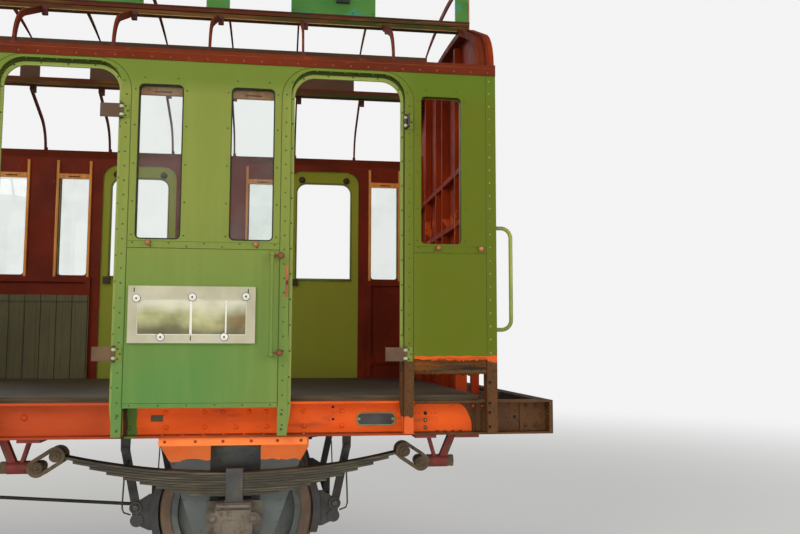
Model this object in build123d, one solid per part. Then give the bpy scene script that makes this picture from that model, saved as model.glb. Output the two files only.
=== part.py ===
from build123d import *
import math
import os

# Two-axle compartment coach with a clerestory roof, stripped for repair.
# X runs along the coach, Y across it, Z up. The origin is midway between the
# axles, on the line through the tips of the wheel flanges. All sizes are in
# millimetres.

# Wheels and axles
AXLE_X = 2660
TREAD_RADIUS = 472
FLANGE_HEIGHT = 28
FLANGE_WIDTH = 32
FLANGE_ROUND = 8
BACK_TO_BACK = 1360
TYRE_WIDTH = 135
TYRE_THICK = 66
TREAD_FALL = 3
RIM_THICK = 42
RIM_INSET = 12
DISC_THICK = 24
HUB_RADIUS = 120
HUB_LENGTH = 190
HUB_INSET = 20
AXLE_RADIUS = 70
WHEEL_SEAT_RADIUS = 76
COLLAR_RADIUS = 62
JOURNAL_RADIUS = 50
JOURNAL_Y = 1110
JOURNAL_END = 80

# Axle boxes, heights from the axle's centre line
BOX_TOP_RISE = 120
BOX_BOTTOM_DROP = 148
BOX_HALF_WIDTH = 112
BOX_SHOULDER = 60
BOX_TAPER = 52
BOX_BACK = 1000
BOX_FRONT = 1215
BOX_BORE_GAP = 1
COVER_THICK = 22
COVER_TOP = 84
COVER_FOOT = 128
COVER_FOOT_HALF = 42
EAR_RADIUS = 36
EAR_X = 117
EAR_RISE = 37
EAR_BOLT_RADIUS = 17
EAR_BOLT_HEAD = 12

# Leaf springs
SPRING_WIDTH = 90
SPRING_RADIUS = 4374
LEAVES = 9
LEAF_THICK = 15
LEAF_STEP = 95
LEAF_WIDTH_STEP = 4
SPRING_HALF = 1020
EYE_RADIUS = 32
PIN_RADIUS = 14
PIN_GAP = 0.3
BUCKLE_HALF = 50
BUCKLE_WALL = 9
BUCKLE_TOP_WALL = 26
BUCKLE_SEAT = 32
BUCKLE_GAP = 0.5

# Spring links and brackets
LINK_RUN = 100
LINK_DROP = 66
LINK_THICK = 12
LINK_RING = 20
LINK_SIDE_GAP = 2
PIN_HEAD = 8
PIN_HEAD_RADIUS = 32
BRACKET_FOOT_THICK = 18
BRACKET_NEAR_FOOT = 112
BRACKET_FAR_FOOT = 148
BRACKET_DEPTH = 46
BRACKET_NEAR_LEAN = 5
BRACKET_FAR_LEAN = 55
BRACKET_ARM_SLIM = 20
BRACKET_ARM_WIDE = 48
SLEEVE_START = 48
SLEEVE_RADIUS = 38
SLEEVE_LENGTH = 126
EYE_BOLT_RADIUS = 18
EYE_BOLT_NUT = 38
NUT_LENGTH = 36

# Axle guards
GUARD_THICK = 12
GUARD_Y = 1046
GUARD_HALF_TOP = 440
GUARD_HALF_WAIST = 386
GUARD_HALF_FOOT = 236
GUARD_LIP = 46
GUARD_GAP = 5
GUIDE_HALF = 145
GUIDE_LIP = 20
GUIDE_HEIGHT = 178
GUIDE_TOP_DROP = 10
GUARD_FOOT_DROP = 200
GUARD_TIE = 30

# Brake gear
SHOE_GAP = 9
SHOE_THICK = 46
SHOE_HEIGHT = 330
SHOE_RISE = 20
SHOE_WIDTH = 74
SHOE_Y = 778
HANGER_THICK = 20
HANGER_HALF = 26
HANGER_PIN_X = 695
HANGER_PIN_DROP = 128
HANGER_RING_X = 620
HANGER_RING_RISE = 30
HANGER_BOSS = 36
HANGER_BACK = 220
BEAM_RADIUS = 20
BEAM_CAP_RADIUS = 40
BEAM_BEHIND_SHOE = 85
BEAM_DROP = 48
LEVER_THICK = 24
LEVER_TOP = 620
LEVER_FOOT = 400
SHAFT_Z = 700
SHAFT_RADIUS = 22
SHAFT_HALF = 520
SHAFT_ARM = 150
ROD_RADIUS = 12
JAW_RADIUS = 24
JAW_THICK = 8
JAW_GAP = 1
JAW_REACH = 60

# Underframe
UNDERFRAME_OVERHANG = 360
SOLEBAR_BOTTOM = 1016
SOLEBAR_HEIGHT = 200
SOLEBAR_FLANGE = 90
SOLEBAR_WEB = 10
SOLEBAR_FLANGE_THICK = 12
HEADSTOCK_FLANGE = 80
HEADSTOCK_WEB = 12
BUFFER_Y = 875
BUFFER_HOLES_Y = 240
BUFFER_HOLES_Z = 100
BUFFER_HOLE_RADIUS = 12
HOOK_HOLE_RADIUS = 34
BEARER_WIDTH = 60
BEARER_HEIGHT = 160
BEARER_WALL = 10
CENTRE_SILL_Y = 400
CENTRE_SILL_WIDTH = 60
BEARER_OUTERMOST = 4000
BEARER_INNERMOST = 900

# Plates on the solebar webs, as places along the coach
PATCH_START = 3709
PATCH_END = 4073
PATCH_CORNER = 36
PATCH_THICK = 10
STIFFENER_START = 4096
STIFFENER_END = 4130
STIFFENER_THICK = 16
KNEE_LENGTH = 172
NAME_PLATE_START = 3376
NAME_PLATE_END = 3604
NAME_PLATE_HEIGHT = 71
NAME_PLATE_RISE = 54
NAME_PLATE_THICK = 5

# Body
DOOR_PITCH = 1650
COMPARTMENTS = 5
END_BAY = 900
BODY_WIDTH = 2840
WALL = 60
WALL_LAP = 26
WALL_HEIGHT = 2004
CANT_RAIL_HEIGHT = 68
CANT_RAIL_PROUD = 6
FLOOR_THICK = 30
FLOOR_MARGIN = 60

# Doorways
REBATE_HALF = 340
FRAME_FACE = 55
FRAME_CORNER = 190
REBATE_HEAD = 18
REBATE_CORNER = 261
LIP = 21
LIP_DEPTH = 13
LIP_RISE = 45
LIP_TAPER = 50
LEG_RISE = 14

# Windows beside the doors
WINDOW_MARGIN = 44
WINDOW_WIDTH = 246
WINDOW_HEAD = 146
WINDOW_HEIGHT = 900
WINDOW_CORNER = 26
GLASS = 6
GLASS_DEPTH = 22

# Framing and lining inside the walls, heights from the floor's top
FRAMING_DEPTH = 30
FRAMING_POST = 44
LOW_RAIL_RISE = 131
LOW_RAIL_HEIGHT = 47
SILL_HEIGHT = 46
SILL_DROP = 16
BATTEN_WIDTH = 20
BATTEN_DEPTH = 24
BATTEN_GAP = 6
HEAD_BATTEN = 44
BATTEN_TOP_DROP = 28
SLOT_LENGTH = 100
SLOT_HEIGHT = 11
SLOT_DROP = 20
BOARD_THICK = 12
BOARDS = 8
BOARD_GROOVE = 4
WAINSCOT_HEIGHT = 669
WAINSCOT_RAIL = 54
WAINSCOT_RAIL_DEPTH = 22

# Cut-away bay by the near corner of the plus X end
CORNER_POST = 62
CUT_RISE = 38
CUT_RAIL_SETBACK = 14

# Roof and clerestory
BOW_PITCH = 550
BOW_WIDTH = 14
BOW_DEPTH = 40
EAVES_RADIUS = 300
EAVES_TURN = 65
EAVES_INSET = 31
ROOF_RISE = 441
CLERESTORY_HALF = 860
BEAM_DROP_BELOW_ROOF = 18
BEAM_HEIGHT = 65
BEAM_WIDTH = 56
BEAM_GROOVE = 8
CLERESTORY_WALL = 30
CLERESTORY_LIGHT_HEIGHT = 280
CLERESTORY_RAIL_HEIGHT = 55
CLERESTORY_RISE = 100
VENT_PANEL_HALF = 345
VENT_POST = 150
END_LIGHT_LENGTH = 556
END_VENT_OFFSET = 221
VENT_HALF = 45
VENT_HEIGHT = 62
VENT_DEPTH = 22
VENT_RISE = 90
HOOP_FLANGE = 20
HOOP_WIDTH = 84
HOOP_WEB = 14
CROSS_HOOP_WIDTH = 66

# End walls
END_WALL = 30
OUTER_RIBS = (-1080, 1080)
INNER_RIBS = (-600, -130, 130, 600)
RIB_DEPTH = 50
RIB_WEB = 10
RIB_FLANGE = 40
END_RAIL_RISES = (1124, 1487)
END_RAIL_HEIGHT = 36

# Far side doors, heights from the floor's top
DOOR_GAP = 6
DOOR_THICK = 42
DOOR_FOOT_DROP = 46
DOOR_STOP_GAP = 5
DOOR_STILE = 95
DOOR_LIGHT_HEAD = 166
DOOR_LIGHT_HEIGHT = 880
DOOR_LIGHT_CORNER = 140
BUMPER_RADIUS = 30
BUMPER_INSET = 135
BUMPER_DROP = 132
BUMPER_THICK = 8
LOCK_RISE = 864
LOCK_SIZE = 62
LOCK_THICK = 26
LOCK_INSET = 78
HANDLE_RADIUS = 8
HANDLE_REACH = 46
HANDLE_HALF = 62
HINGE_RISES = (246, 1638)
HINGE_LENGTH = 96
KNUCKLE_RADIUS = 10
KNUCKLE_END_GAP = 1
HINGE_PIN_RADIUS = 5
HINGE_PIN_GAP = 0.4
HINGE_STRAP = 6
HINGE_STRAP_LENGTH = 88
HINGE_JAMB_LENGTH = 50
LEFT_LEAF_HEIGHT = 80
LEFT_LEAF_THICK = 8
LEFT_LEAF_LENGTH = 118
LEFT_JAMB_LENGTH = 42

# Handrails, heights from the floor's top
RAIL_RADIUS = 11
RAIL_STANDOFF = 55
RAIL_RISE = 244
RAIL_LENGTH = 576
RAIL_MARGIN = 43
RAIL_BALL = 17
RAIL_STEM = 9
END_RAIL_INSET = 80
END_RAIL_REACH = 110
END_RAIL_FOOT = 394
END_RAIL_LENGTH = 622
END_RAIL_CORNER = 60
END_RAIL_RADIUS = 12

# Notice frame, from the last door's centre and the floor's top
NOTICE_START = 1235
NOTICE_LENGTH = 707
NOTICE_RISE = 307
NOTICE_HEIGHT = 323
NOTICE_SIDE = 50
NOTICE_FOOT = 47
NOTICE_HEAD = 73
NOTICE_THICK = 22
NOTICE_PANE = 12

# Worked out from the values above
AXLE_Z = TREAD_RADIUS + FLANGE_HEIGHT
BOX_TOP = AXLE_Z + BOX_TOP_RISE
BOX_BOTTOM = AXLE_Z - BOX_BOTTOM_DROP
PACK_BOTTOM = BOX_TOP + BUCKLE_SEAT
SPRING_TOP = PACK_BOTTOM + LEAVES * LEAF_THICK
EYE_Z = SPRING_TOP + SPRING_RADIUS - math.sqrt((SPRING_RADIUS + LEAF_THICK / 2) ** 2 - SPRING_HALF**2)
BEAM_Z = AXLE_Z - BEAM_DROP
SHOE_BACK = TREAD_RADIUS + SHOE_GAP + SHOE_THICK
LAST_DOOR = (COMPARTMENTS - 1) / 2 * DOOR_PITCH
DOORS = [DOOR_PITCH * n - LAST_DOOR for n in range(COMPARTMENTS)]
HALF_LENGTH = LAST_DOOR + END_BAY
OUTER = BODY_WIDTH / 2
INNER = OUTER - WALL
FRAMED = INNER - FRAMING_DEPTH
UNDERFRAME_HALF = HALF_LENGTH + UNDERFRAME_OVERHANG
SOLEBAR_END = UNDERFRAME_HALF - HEADSTOCK_FLANGE
SOLEBAR_TOP = SOLEBAR_BOTTOM + SOLEBAR_HEIGHT
SOLEBAR_MIDDLE = (SOLEBAR_BOTTOM + SOLEBAR_TOP) / 2
WEB_Y = INNER - SOLEBAR_FLANGE
BEARER_BOTTOM = SOLEBAR_TOP - BEARER_HEIGHT
HANGER_PIN_Z = SOLEBAR_BOTTOM - HANGER_PIN_DROP
HANGER_BEARERS = (AXLE_X - HANGER_PIN_X, AXLE_X + HANGER_PIN_X)
HALF_BEARERS = (BEARER_INNERMOST, *HANGER_BEARERS, BEARER_OUTERMOST)
BEARER_PLACES = (0, *HALF_BEARERS, *(-x for x in HALF_BEARERS))
FLOOR_TOP = SOLEBAR_TOP + FLOOR_THICK
WALL_BOTTOM = SOLEBAR_TOP - WALL_LAP
WALL_TOP = WALL_BOTTOM + WALL_HEIGHT
CANT_TOP = WALL_TOP + CANT_RAIL_HEIGHT
LEG_BOTTOM = SOLEBAR_BOTTOM + LEG_RISE
LIP_BOTTOM = LEG_BOTTOM + LIP_RISE
REBATE_TOP = WALL_TOP - REBATE_HEAD
WINDOW_TOP = WALL_TOP - WINDOW_HEAD
WINDOW_BOTTOM = WINDOW_TOP - WINDOW_HEIGHT
FRAME_HALF = REBATE_HALF + FRAME_FACE
WINDOW_NEAR = FRAME_HALF + WINDOW_MARGIN
WINDOW_FAR = WINDOW_NEAR + WINDOW_WIDTH
RAIL_OFFSET = FRAME_HALF + RAIL_MARGIN
DOOR_LIGHT_HALF = REBATE_HALF - DOOR_STILE
BUMPER_X = REBATE_HALF - BUMPER_INSET
LOCK_X = REBATE_HALF - LOCK_INSET
LOW_RAIL_BOTTOM = FLOOR_TOP + LOW_RAIL_RISE
LOW_RAIL_TOP = LOW_RAIL_BOTTOM + LOW_RAIL_HEIGHT
SILL_TOP = WINDOW_BOTTOM - SILL_DROP
SILL_BOTTOM = SILL_TOP - SILL_HEIGHT
CUT_TOP = LOW_RAIL_TOP + CUT_RISE
END_WALL_X = HALF_LENGTH - END_WALL
ROOF_TOP = CANT_TOP + ROOF_RISE
BEAM_BOTTOM = ROOF_TOP - BEAM_DROP_BELOW_ROOF
BEAM_TOP = BEAM_BOTTOM + BEAM_HEIGHT
CLERESTORY_OUT = CLERESTORY_HALF - (BEAM_WIDTH - CLERESTORY_WALL) / 2
LIGHT_TOP = BEAM_TOP + CLERESTORY_LIGHT_HEIGHT
CLERESTORY_TOP = LIGHT_TOP + CLERESTORY_RAIL_HEIGHT
HALF_BOWS = int((HALF_LENGTH - 200) / BOW_PITCH + 0.5)
BOWS = [BOW_PITCH * (n + 0.5) for n in range(-HALF_BOWS, HALF_BOWS)]
HINGE_HEIGHTS = [FLOOR_TOP + rise for rise in HINGE_RISES]
HINGE_Y = OUTER + HINGE_STRAP + KNUCKLE_RADIUS - 2
KNUCKLE = HINGE_LENGTH / 3
DOOR_IN = INNER + LIP_DEPTH + DOOR_STOP_GAP
DOOR_OUT = DOOR_IN + DOOR_THICK

os.makedirs("parts", exist_ok=True)


def block(x0, x1, y0, y1, z0, z1):
    """Box between two corners, given as two values along each axis."""
    centre = Pos((x0 + x1) / 2, (y0 + y1) / 2, (z0 + z1) / 2)
    return centre * Box(abs(x1 - x0), abs(y1 - y0), abs(z1 - z0))


def prism_y(sketch, y0, y1):
    """Solid of an outline drawn in X and Z, between two places across the coach."""
    return Pos(0, max(y0, y1), 0) * extrude(Plane.XZ * sketch, amount=abs(y1 - y0))


def prism_x(sketch, x0, x1):
    """Solid of an outline drawn in Y and Z, between two places along the coach."""
    return Pos(min(x0, x1), 0, 0) * extrude(Plane.YZ * sketch, amount=abs(x1 - x0))


def outline(*points):
    """Flat face through points, joined by straight lines."""
    return make_face(Polyline(*points, close=True))


def rod_x(radius, x0, x1, y, z):
    """Round bar along X."""
    return Pos((x0 + x1) / 2, y, z) * Rot(0, 90, 0) * Cylinder(radius, abs(x1 - x0))


def rod_y(radius, x, y0, y1, z):
    """Round bar along Y."""
    return Pos(x, (y0 + y1) / 2, z) * Rot(90, 0, 0) * Cylinder(radius, abs(y1 - y0))


def rod_z(radius, x, y, z0, z1):
    """Round bar along Z."""
    return Pos(x, y, (z0 + z1) / 2) * Cylinder(radius, abs(z1 - z0))


def arch(half, bottom, top, radius):
    """Doorway outline: two straight sides and two round top corners."""
    flat = Pos(0, (bottom + top) / 2) * Rectangle(2 * half, top - bottom)
    return fillet(flat.vertices().group_by(Axis.Y)[-1], radius)


def both_sides(shape):
    """A piece of the near side and its mirror image on the far side."""
    return [shape, mirror(shape, Plane.XZ)]


def both_ends(shape):
    """A piece of the plus X end and its mirror image at the other end."""
    return [shape, mirror(shape, Plane.YZ)]


def at_axles(shape):
    """A piece drawn about its axle, put at both axles."""
    return [Pos(axle, 0, 0) * shape for axle in (-AXLE_X, AXLE_X)]


def at_corners(shape):
    """A near side piece drawn about its axle, put at all four wheels."""
    return [one for side in both_sides(shape) for one in at_axles(side)]


def hull_of(*shapes):
    """Flat face stretched round several outlines."""
    return make_hull([edge for shape in shapes for edge in shape.edges()])


def solids_of(shapes):
    """All solids of a list of shapes, as one flat list."""
    return [solid for shape in shapes for solid in shape.solids()]


def save(name, shapes):
    """Write one node: every solid of the shapes given, none of them fused."""
    export_step(Compound(children=solids_of(shapes)), f"parts/{name}.step")


# Underframe


def channel_y(x0, x1, web_y, tip_y, z0, z1):
    """Channel along X: upright web at web_y, flanges out to tip_y."""
    inward = math.copysign(SOLEBAR_WEB, web_y - tip_y)
    web = block(x0, x1, web_y, web_y + inward, z0, z1)
    low = block(x0, x1, web_y, tip_y, z0, z0 + SOLEBAR_FLANGE_THICK)
    high = block(x0, x1, web_y, tip_y, z1 - SOLEBAR_FLANGE_THICK, z1)
    return web + low + high


def solebar():
    """Near side channel with its flanges outwards."""
    return channel_y(-SOLEBAR_END, SOLEBAR_END, -WEB_Y, -INNER, SOLEBAR_BOTTOM, SOLEBAR_TOP)


def headstock():
    """Channel across the plus X end, with holes for buffers and draw hook."""
    tip = UNDERFRAME_HALF
    web = block(tip - HEADSTOCK_WEB, tip, -INNER, INNER, SOLEBAR_BOTTOM, SOLEBAR_TOP)
    flange = block(SOLEBAR_END, tip, -INNER, INNER, SOLEBAR_BOTTOM, SOLEBAR_BOTTOM + SOLEBAR_FLANGE_THICK)
    beam = web + flange + Pos(0, 0, SOLEBAR_HEIGHT - SOLEBAR_FLANGE_THICK) * flange
    hole_start = tip - 2 * HEADSTOCK_WEB
    hole_end = tip + HEADSTOCK_WEB
    for y in (-BUFFER_Y, BUFFER_Y):
        for across in (-BUFFER_HOLES_Y / 2, BUFFER_HOLES_Y / 2):
            for up in (-BUFFER_HOLES_Z / 2, BUFFER_HOLES_Z / 2):
                beam = beam - rod_x(BUFFER_HOLE_RADIUS, hole_start, hole_end, y + across, SOLEBAR_MIDDLE + up)
    return beam - rod_x(HOOK_HOLE_RADIUS, hole_start, hole_end, 0, SOLEBAR_MIDDLE)


def cross_bearer(x, y0, y1):
    """One length of channel bearer between a sill or solebar and the next."""
    half = BEARER_WIDTH / 2
    bearer = block(x - half, x + half, y0, y1, BEARER_BOTTOM, SOLEBAR_TOP)
    low = BEARER_BOTTOM + BEARER_WALL
    high = SOLEBAR_TOP - BEARER_WALL
    return bearer - block(x - half + BEARER_WALL, x + half, y0, y1, low, high)


def cross_bearers():
    """Three lengths of every bearer, set between the sills and solebars."""
    side = WEB_Y - SOLEBAR_WEB
    near_sill = CENTRE_SILL_Y + CENTRE_SILL_WIDTH / 2
    inner_sill = CENTRE_SILL_Y - CENTRE_SILL_WIDTH / 2
    pieces = []
    for x in BEARER_PLACES:
        pieces += both_sides(cross_bearer(x, -side, -near_sill))
        pieces.append(cross_bearer(x, -inner_sill, inner_sill))
    return pieces


def centre_sill():
    """Near one of the two sills that run from headstock to headstock."""
    half = CENTRE_SILL_WIDTH / 2
    end = SOLEBAR_END
    return block(-end, end, -CENTRE_SILL_Y - half, -CENTRE_SILL_Y + half, BEARER_BOTTOM, SOLEBAR_TOP)


def floor():
    """Boarded floor over the underframe, inside the wall posts."""
    x = END_WALL_X - FLOOR_MARGIN
    y = INNER - FLOOR_MARGIN
    return block(-x, x, -y, y, SOLEBAR_TOP, FLOOR_TOP)


def patch_plate():
    """Doubling plate on the near solebar's web over the outer spring bracket."""
    low = SOLEBAR_BOTTOM + SOLEBAR_FLANGE_THICK
    high = SOLEBAR_TOP - SOLEBAR_FLANGE_THICK
    middle = Pos((PATCH_START + PATCH_END) / 2, (low + high) / 2)
    flat = middle * Rectangle(PATCH_END - PATCH_START, high - low)
    corner = flat.vertices().group_by(Axis.Y)[-1].sort_by(Axis.X)[-1]
    return prism_y(fillet(corner, PATCH_CORNER), -WEB_Y - PATCH_THICK, -WEB_Y)


def web_stiffener():
    """Upright round-ended rib on the near solebar's web."""
    width = STIFFENER_END - STIFFENER_START
    low = SOLEBAR_BOTTOM + SOLEBAR_FLANGE_THICK
    high = SOLEBAR_TOP - SOLEBAR_FLANGE_THICK
    flat = Pos((STIFFENER_START + STIFFENER_END) / 2, (low + high) / 2) * SlotOverall(high - low, width, 90)
    return prism_y(flat, -WEB_Y - STIFFENER_THICK, -WEB_Y)


def corner_knee():
    """Angle that joins the near solebar to the headstock."""
    low = SOLEBAR_BOTTOM + SOLEBAR_FLANGE_THICK
    high = SOLEBAR_TOP - SOLEBAR_FLANGE_THICK
    end = UNDERFRAME_HALF - HEADSTOCK_WEB
    along = block(end - KNEE_LENGTH, end, -WEB_Y - SOLEBAR_WEB, -WEB_Y, low, high)
    return along + block(end - SOLEBAR_WEB, end, -INNER, -WEB_Y, low, high)


def name_plate():
    """Blank plate with round ends on the near solebar's web."""
    length = NAME_PLATE_END - NAME_PLATE_START
    middle = SOLEBAR_BOTTOM + NAME_PLATE_RISE + NAME_PLATE_HEIGHT / 2
    place = Pos((NAME_PLATE_START + NAME_PLATE_END) / 2, middle)
    flat = place * RectangleRounded(length, NAME_PLATE_HEIGHT, NAME_PLATE_HEIGHT * 0.4)
    return prism_y(flat, -WEB_Y - NAME_PLATE_THICK, -WEB_Y)


# Running gear


def tyre():
    """Near side steel tyre with its flange, turned about the axle."""
    back = BACK_TO_BACK / 2
    front = back + TYRE_WIDTH
    flange_top = TREAD_RADIUS + FLANGE_HEIGHT
    inside = TREAD_RADIUS - TYRE_THICK
    profile = outline(
        (inside, -back),
        (flange_top - FLANGE_ROUND, -back),
        (flange_top, -back - FLANGE_ROUND),
        (flange_top, -back - FLANGE_WIDTH / 2),
        (TREAD_RADIUS, -back - FLANGE_WIDTH),
        (TREAD_RADIUS - TREAD_FALL, -front + FLANGE_ROUND),
        (TREAD_RADIUS - TREAD_FALL - FLANGE_ROUND, -front),
        (inside, -front),
    )
    return Pos(0, 0, AXLE_Z) * revolve(profile, Axis.Y)


def wheel_centre():
    """Near side disc centre: rim, dished plate and hub."""
    back = BACK_TO_BACK / 2
    rim_out = TREAD_RADIUS - TYRE_THICK
    rim_in = rim_out - RIM_THICK
    rim0 = -back - RIM_INSET
    rim1 = -back - TYRE_WIDTH + RIM_INSET
    hub0 = -back + HUB_INSET
    hub1 = hub0 - HUB_LENGTH
    disc = -back - TYRE_WIDTH / 2
    profile = outline(
        (WHEEL_SEAT_RADIUS, hub0),
        (HUB_RADIUS, hub0),
        (HUB_RADIUS, disc),
        (rim_in, disc + DISC_THICK),
        (rim_in, rim0),
        (rim_out, rim0),
        (rim_out, rim1),
        (rim_in, rim1),
        (rim_in, disc),
        (HUB_RADIUS, disc - DISC_THICK),
        (HUB_RADIUS - RIM_INSET, hub1),
        (WHEEL_SEAT_RADIUS, hub1),
    )
    return Pos(0, 0, AXLE_Z) * revolve(profile, Axis.Y)


def axle():
    """Axle with wheel seats, collars and journals, turned about its own line."""
    hub0 = BACK_TO_BACK / 2 - HUB_INSET
    hub1 = hub0 + HUB_LENGTH
    box = BOX_BACK - 2 * BOX_BORE_GAP
    bar = rod_y(AXLE_RADIUS, 0, -hub1, hub1, AXLE_Z)
    for side in (-1, 1):
        bar = bar + rod_y(WHEEL_SEAT_RADIUS, 0, side * hub0, side * hub1, AXLE_Z)
        bar = bar + rod_y(COLLAR_RADIUS, 0, side * hub1, side * box, AXLE_Z)
        bar = bar + rod_y(JOURNAL_RADIUS, 0, side * hub1, side * (JOURNAL_Y + JOURNAL_END), AXLE_Z)
    return bar


def box_cover():
    """Outline of the axle box's front cover with its two bolt ears."""
    half = BOX_HALF_WIDTH
    shield = outline(
        (-half + EAR_BOLT_HEAD, AXLE_Z + COVER_TOP),
        (half - EAR_BOLT_HEAD, AXLE_Z + COVER_TOP),
        (half, AXLE_Z + EAR_RISE),
        (half, AXLE_Z - EAR_RADIUS),
        (COVER_FOOT_HALF, AXLE_Z - COVER_FOOT),
        (-COVER_FOOT_HALF, AXLE_Z - COVER_FOOT),
        (-half, AXLE_Z - EAR_RADIUS),
        (-half, AXLE_Z + EAR_RISE),
    )
    for side in (-EAR_X, EAR_X):
        shield = shield + Pos(side, AXLE_Z + EAR_RISE) * Circle(EAR_RADIUS)
    return shield


def axle_box():
    """Near side axle box: cast body, bolted front cover and guides for the guard."""
    half = BOX_HALF_WIDTH
    flat = outline(
        (-half, BOX_TOP - BOX_SHOULDER),
        (-half + EAR_BOLT_HEAD, BOX_TOP),
        (half - EAR_BOLT_HEAD, BOX_TOP),
        (half, BOX_TOP - BOX_SHOULDER),
        (half, BOX_BOTTOM + BOX_TAPER),
        (half - BOX_TAPER, BOX_BOTTOM),
        (BOX_TAPER - half, BOX_BOTTOM),
        (-half, BOX_BOTTOM + BOX_TAPER),
    )
    body = prism_y(flat, -BOX_BACK, -BOX_FRONT)
    cover = prism_y(box_cover(), -BOX_FRONT, -BOX_FRONT - COVER_THICK)
    box = body + cover
    for side in (-EAR_X, EAR_X):
        front = BOX_FRONT + COVER_THICK
        box = box + rod_y(EAR_BOLT_RADIUS, side, -front, -front - EAR_BOLT_HEAD, AXLE_Z + EAR_RISE)
    guard0 = GUARD_Y - GUARD_THICK / 2 - 2
    guard1 = GUARD_Y + GUARD_THICK / 2 + 2
    high = BOX_TOP - GUIDE_TOP_DROP
    low = high - GUIDE_HEIGHT
    box = box + block(-GUIDE_HALF, GUIDE_HALF, -guard0, -guard1, low, high)
    lip = GUIDE_HALF + GUIDE_LIP
    for y0, y1 in ((guard0 - GUARD_THICK, guard0), (guard1, guard1 + GUARD_THICK)):
        box = box + block(-lip, lip, -y0, -y1, low, high)
    bore = rod_y(JOURNAL_RADIUS + BOX_BORE_GAP, 0, -BOX_BACK, -JOURNAL_Y - JOURNAL_END - 10, AXLE_Z)
    return box - bore


def spring_leaf(leaf):
    """One leaf of the near side pack, bent to a ring and cut to its length."""
    centre = SPRING_TOP + SPRING_RADIUS
    inner = SPRING_RADIUS + leaf * LEAF_THICK
    half = SPRING_HALF - leaf * LEAF_STEP
    width = SPRING_WIDTH - (leaf % 2) * LEAF_WIDTH_STEP
    ring = Pos(0, centre) * (Circle(inner + LEAF_THICK) - Circle(inner))
    clip = Pos(0, SPRING_TOP) * Rectangle(2 * half, SPRING_RADIUS)
    return prism_y(ring & clip, -JOURNAL_Y - width / 2, -JOURNAL_Y + width / 2)


def leaf_spring():
    """Near side leaf pack with its eyes, curved up towards the ends."""
    pack = spring_leaf(0)
    for leaf in range(1, LEAVES):
        pack = pack + spring_leaf(leaf)
    near = -JOURNAL_Y - SPRING_WIDTH / 2
    far = -JOURNAL_Y + SPRING_WIDTH / 2
    for end in (-SPRING_HALF, SPRING_HALF):
        pack = pack + rod_y(EYE_RADIUS, end, near, far, EYE_Z)
    for end in (-SPRING_HALF, SPRING_HALF):
        pack = pack - rod_y(PIN_RADIUS + PIN_GAP, end, near - 1, far + 1, EYE_Z)
    return pack


def spring_buckle():
    """Near side buckle round the middle of the pack, seated on the axle box."""
    y0 = -JOURNAL_Y - SPRING_WIDTH / 2
    y1 = -JOURNAL_Y + SPRING_WIDTH / 2
    top = SPRING_TOP + BUCKLE_TOP_WALL
    outer = block(-BUCKLE_HALF, BUCKLE_HALF, y0 - BUCKLE_WALL, y1 + BUCKLE_WALL, BOX_TOP, top)
    foot = block(-BUCKLE_HALF - 8, BUCKLE_HALF + 8, y0 - BUCKLE_WALL, y1 + BUCKLE_WALL, BOX_TOP, BOX_TOP + 8)
    hole = block(-BUCKLE_HALF, BUCKLE_HALF, y0, y1, PACK_BOTTOM - BUCKLE_GAP, SPRING_TOP + 2 * BUCKLE_GAP)
    return outer + foot - hole


def spring_link(end):
    """Ring links round two collared pins, from a spring eye to the bracket's eye."""
    x0 = end * SPRING_HALF
    x1 = end * (SPRING_HALF + LINK_RUN)
    places = ((x0, EYE_Z), (x1, EYE_Z - LINK_DROP))
    collar = EYE_RADIUS + LINK_SIDE_GAP
    rim = hull_of(*(Pos(x, z) * Circle(collar + LINK_RING) for x, z in places))
    ring = rim - hull_of(*(Pos(x, z) * Circle(collar) for x, z in places))
    for x, z in places:
        ring = ring + Pos(x, z) * Circle(collar)
    inside = SPRING_WIDTH / 2 + LINK_SIDE_GAP
    outside = inside + LINK_THICK
    pair = prism_y(ring, -JOURNAL_Y - inside, -JOURNAL_Y - outside)
    pair = pair + prism_y(ring, -JOURNAL_Y + inside, -JOURNAL_Y + outside)
    for x, z in places:
        pair = pair + rod_y(PIN_RADIUS, x, -JOURNAL_Y - outside, -JOURNAL_Y + outside, z)
        head = outside + PIN_HEAD
        pair = pair + rod_y(PIN_HEAD_RADIUS, x, -JOURNAL_Y - head, -JOURNAL_Y - outside, z)
        pair = pair + rod_y(PIN_HEAD_RADIUS, x, -JOURNAL_Y + outside, -JOURNAL_Y + head, z)
    return pair


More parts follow.
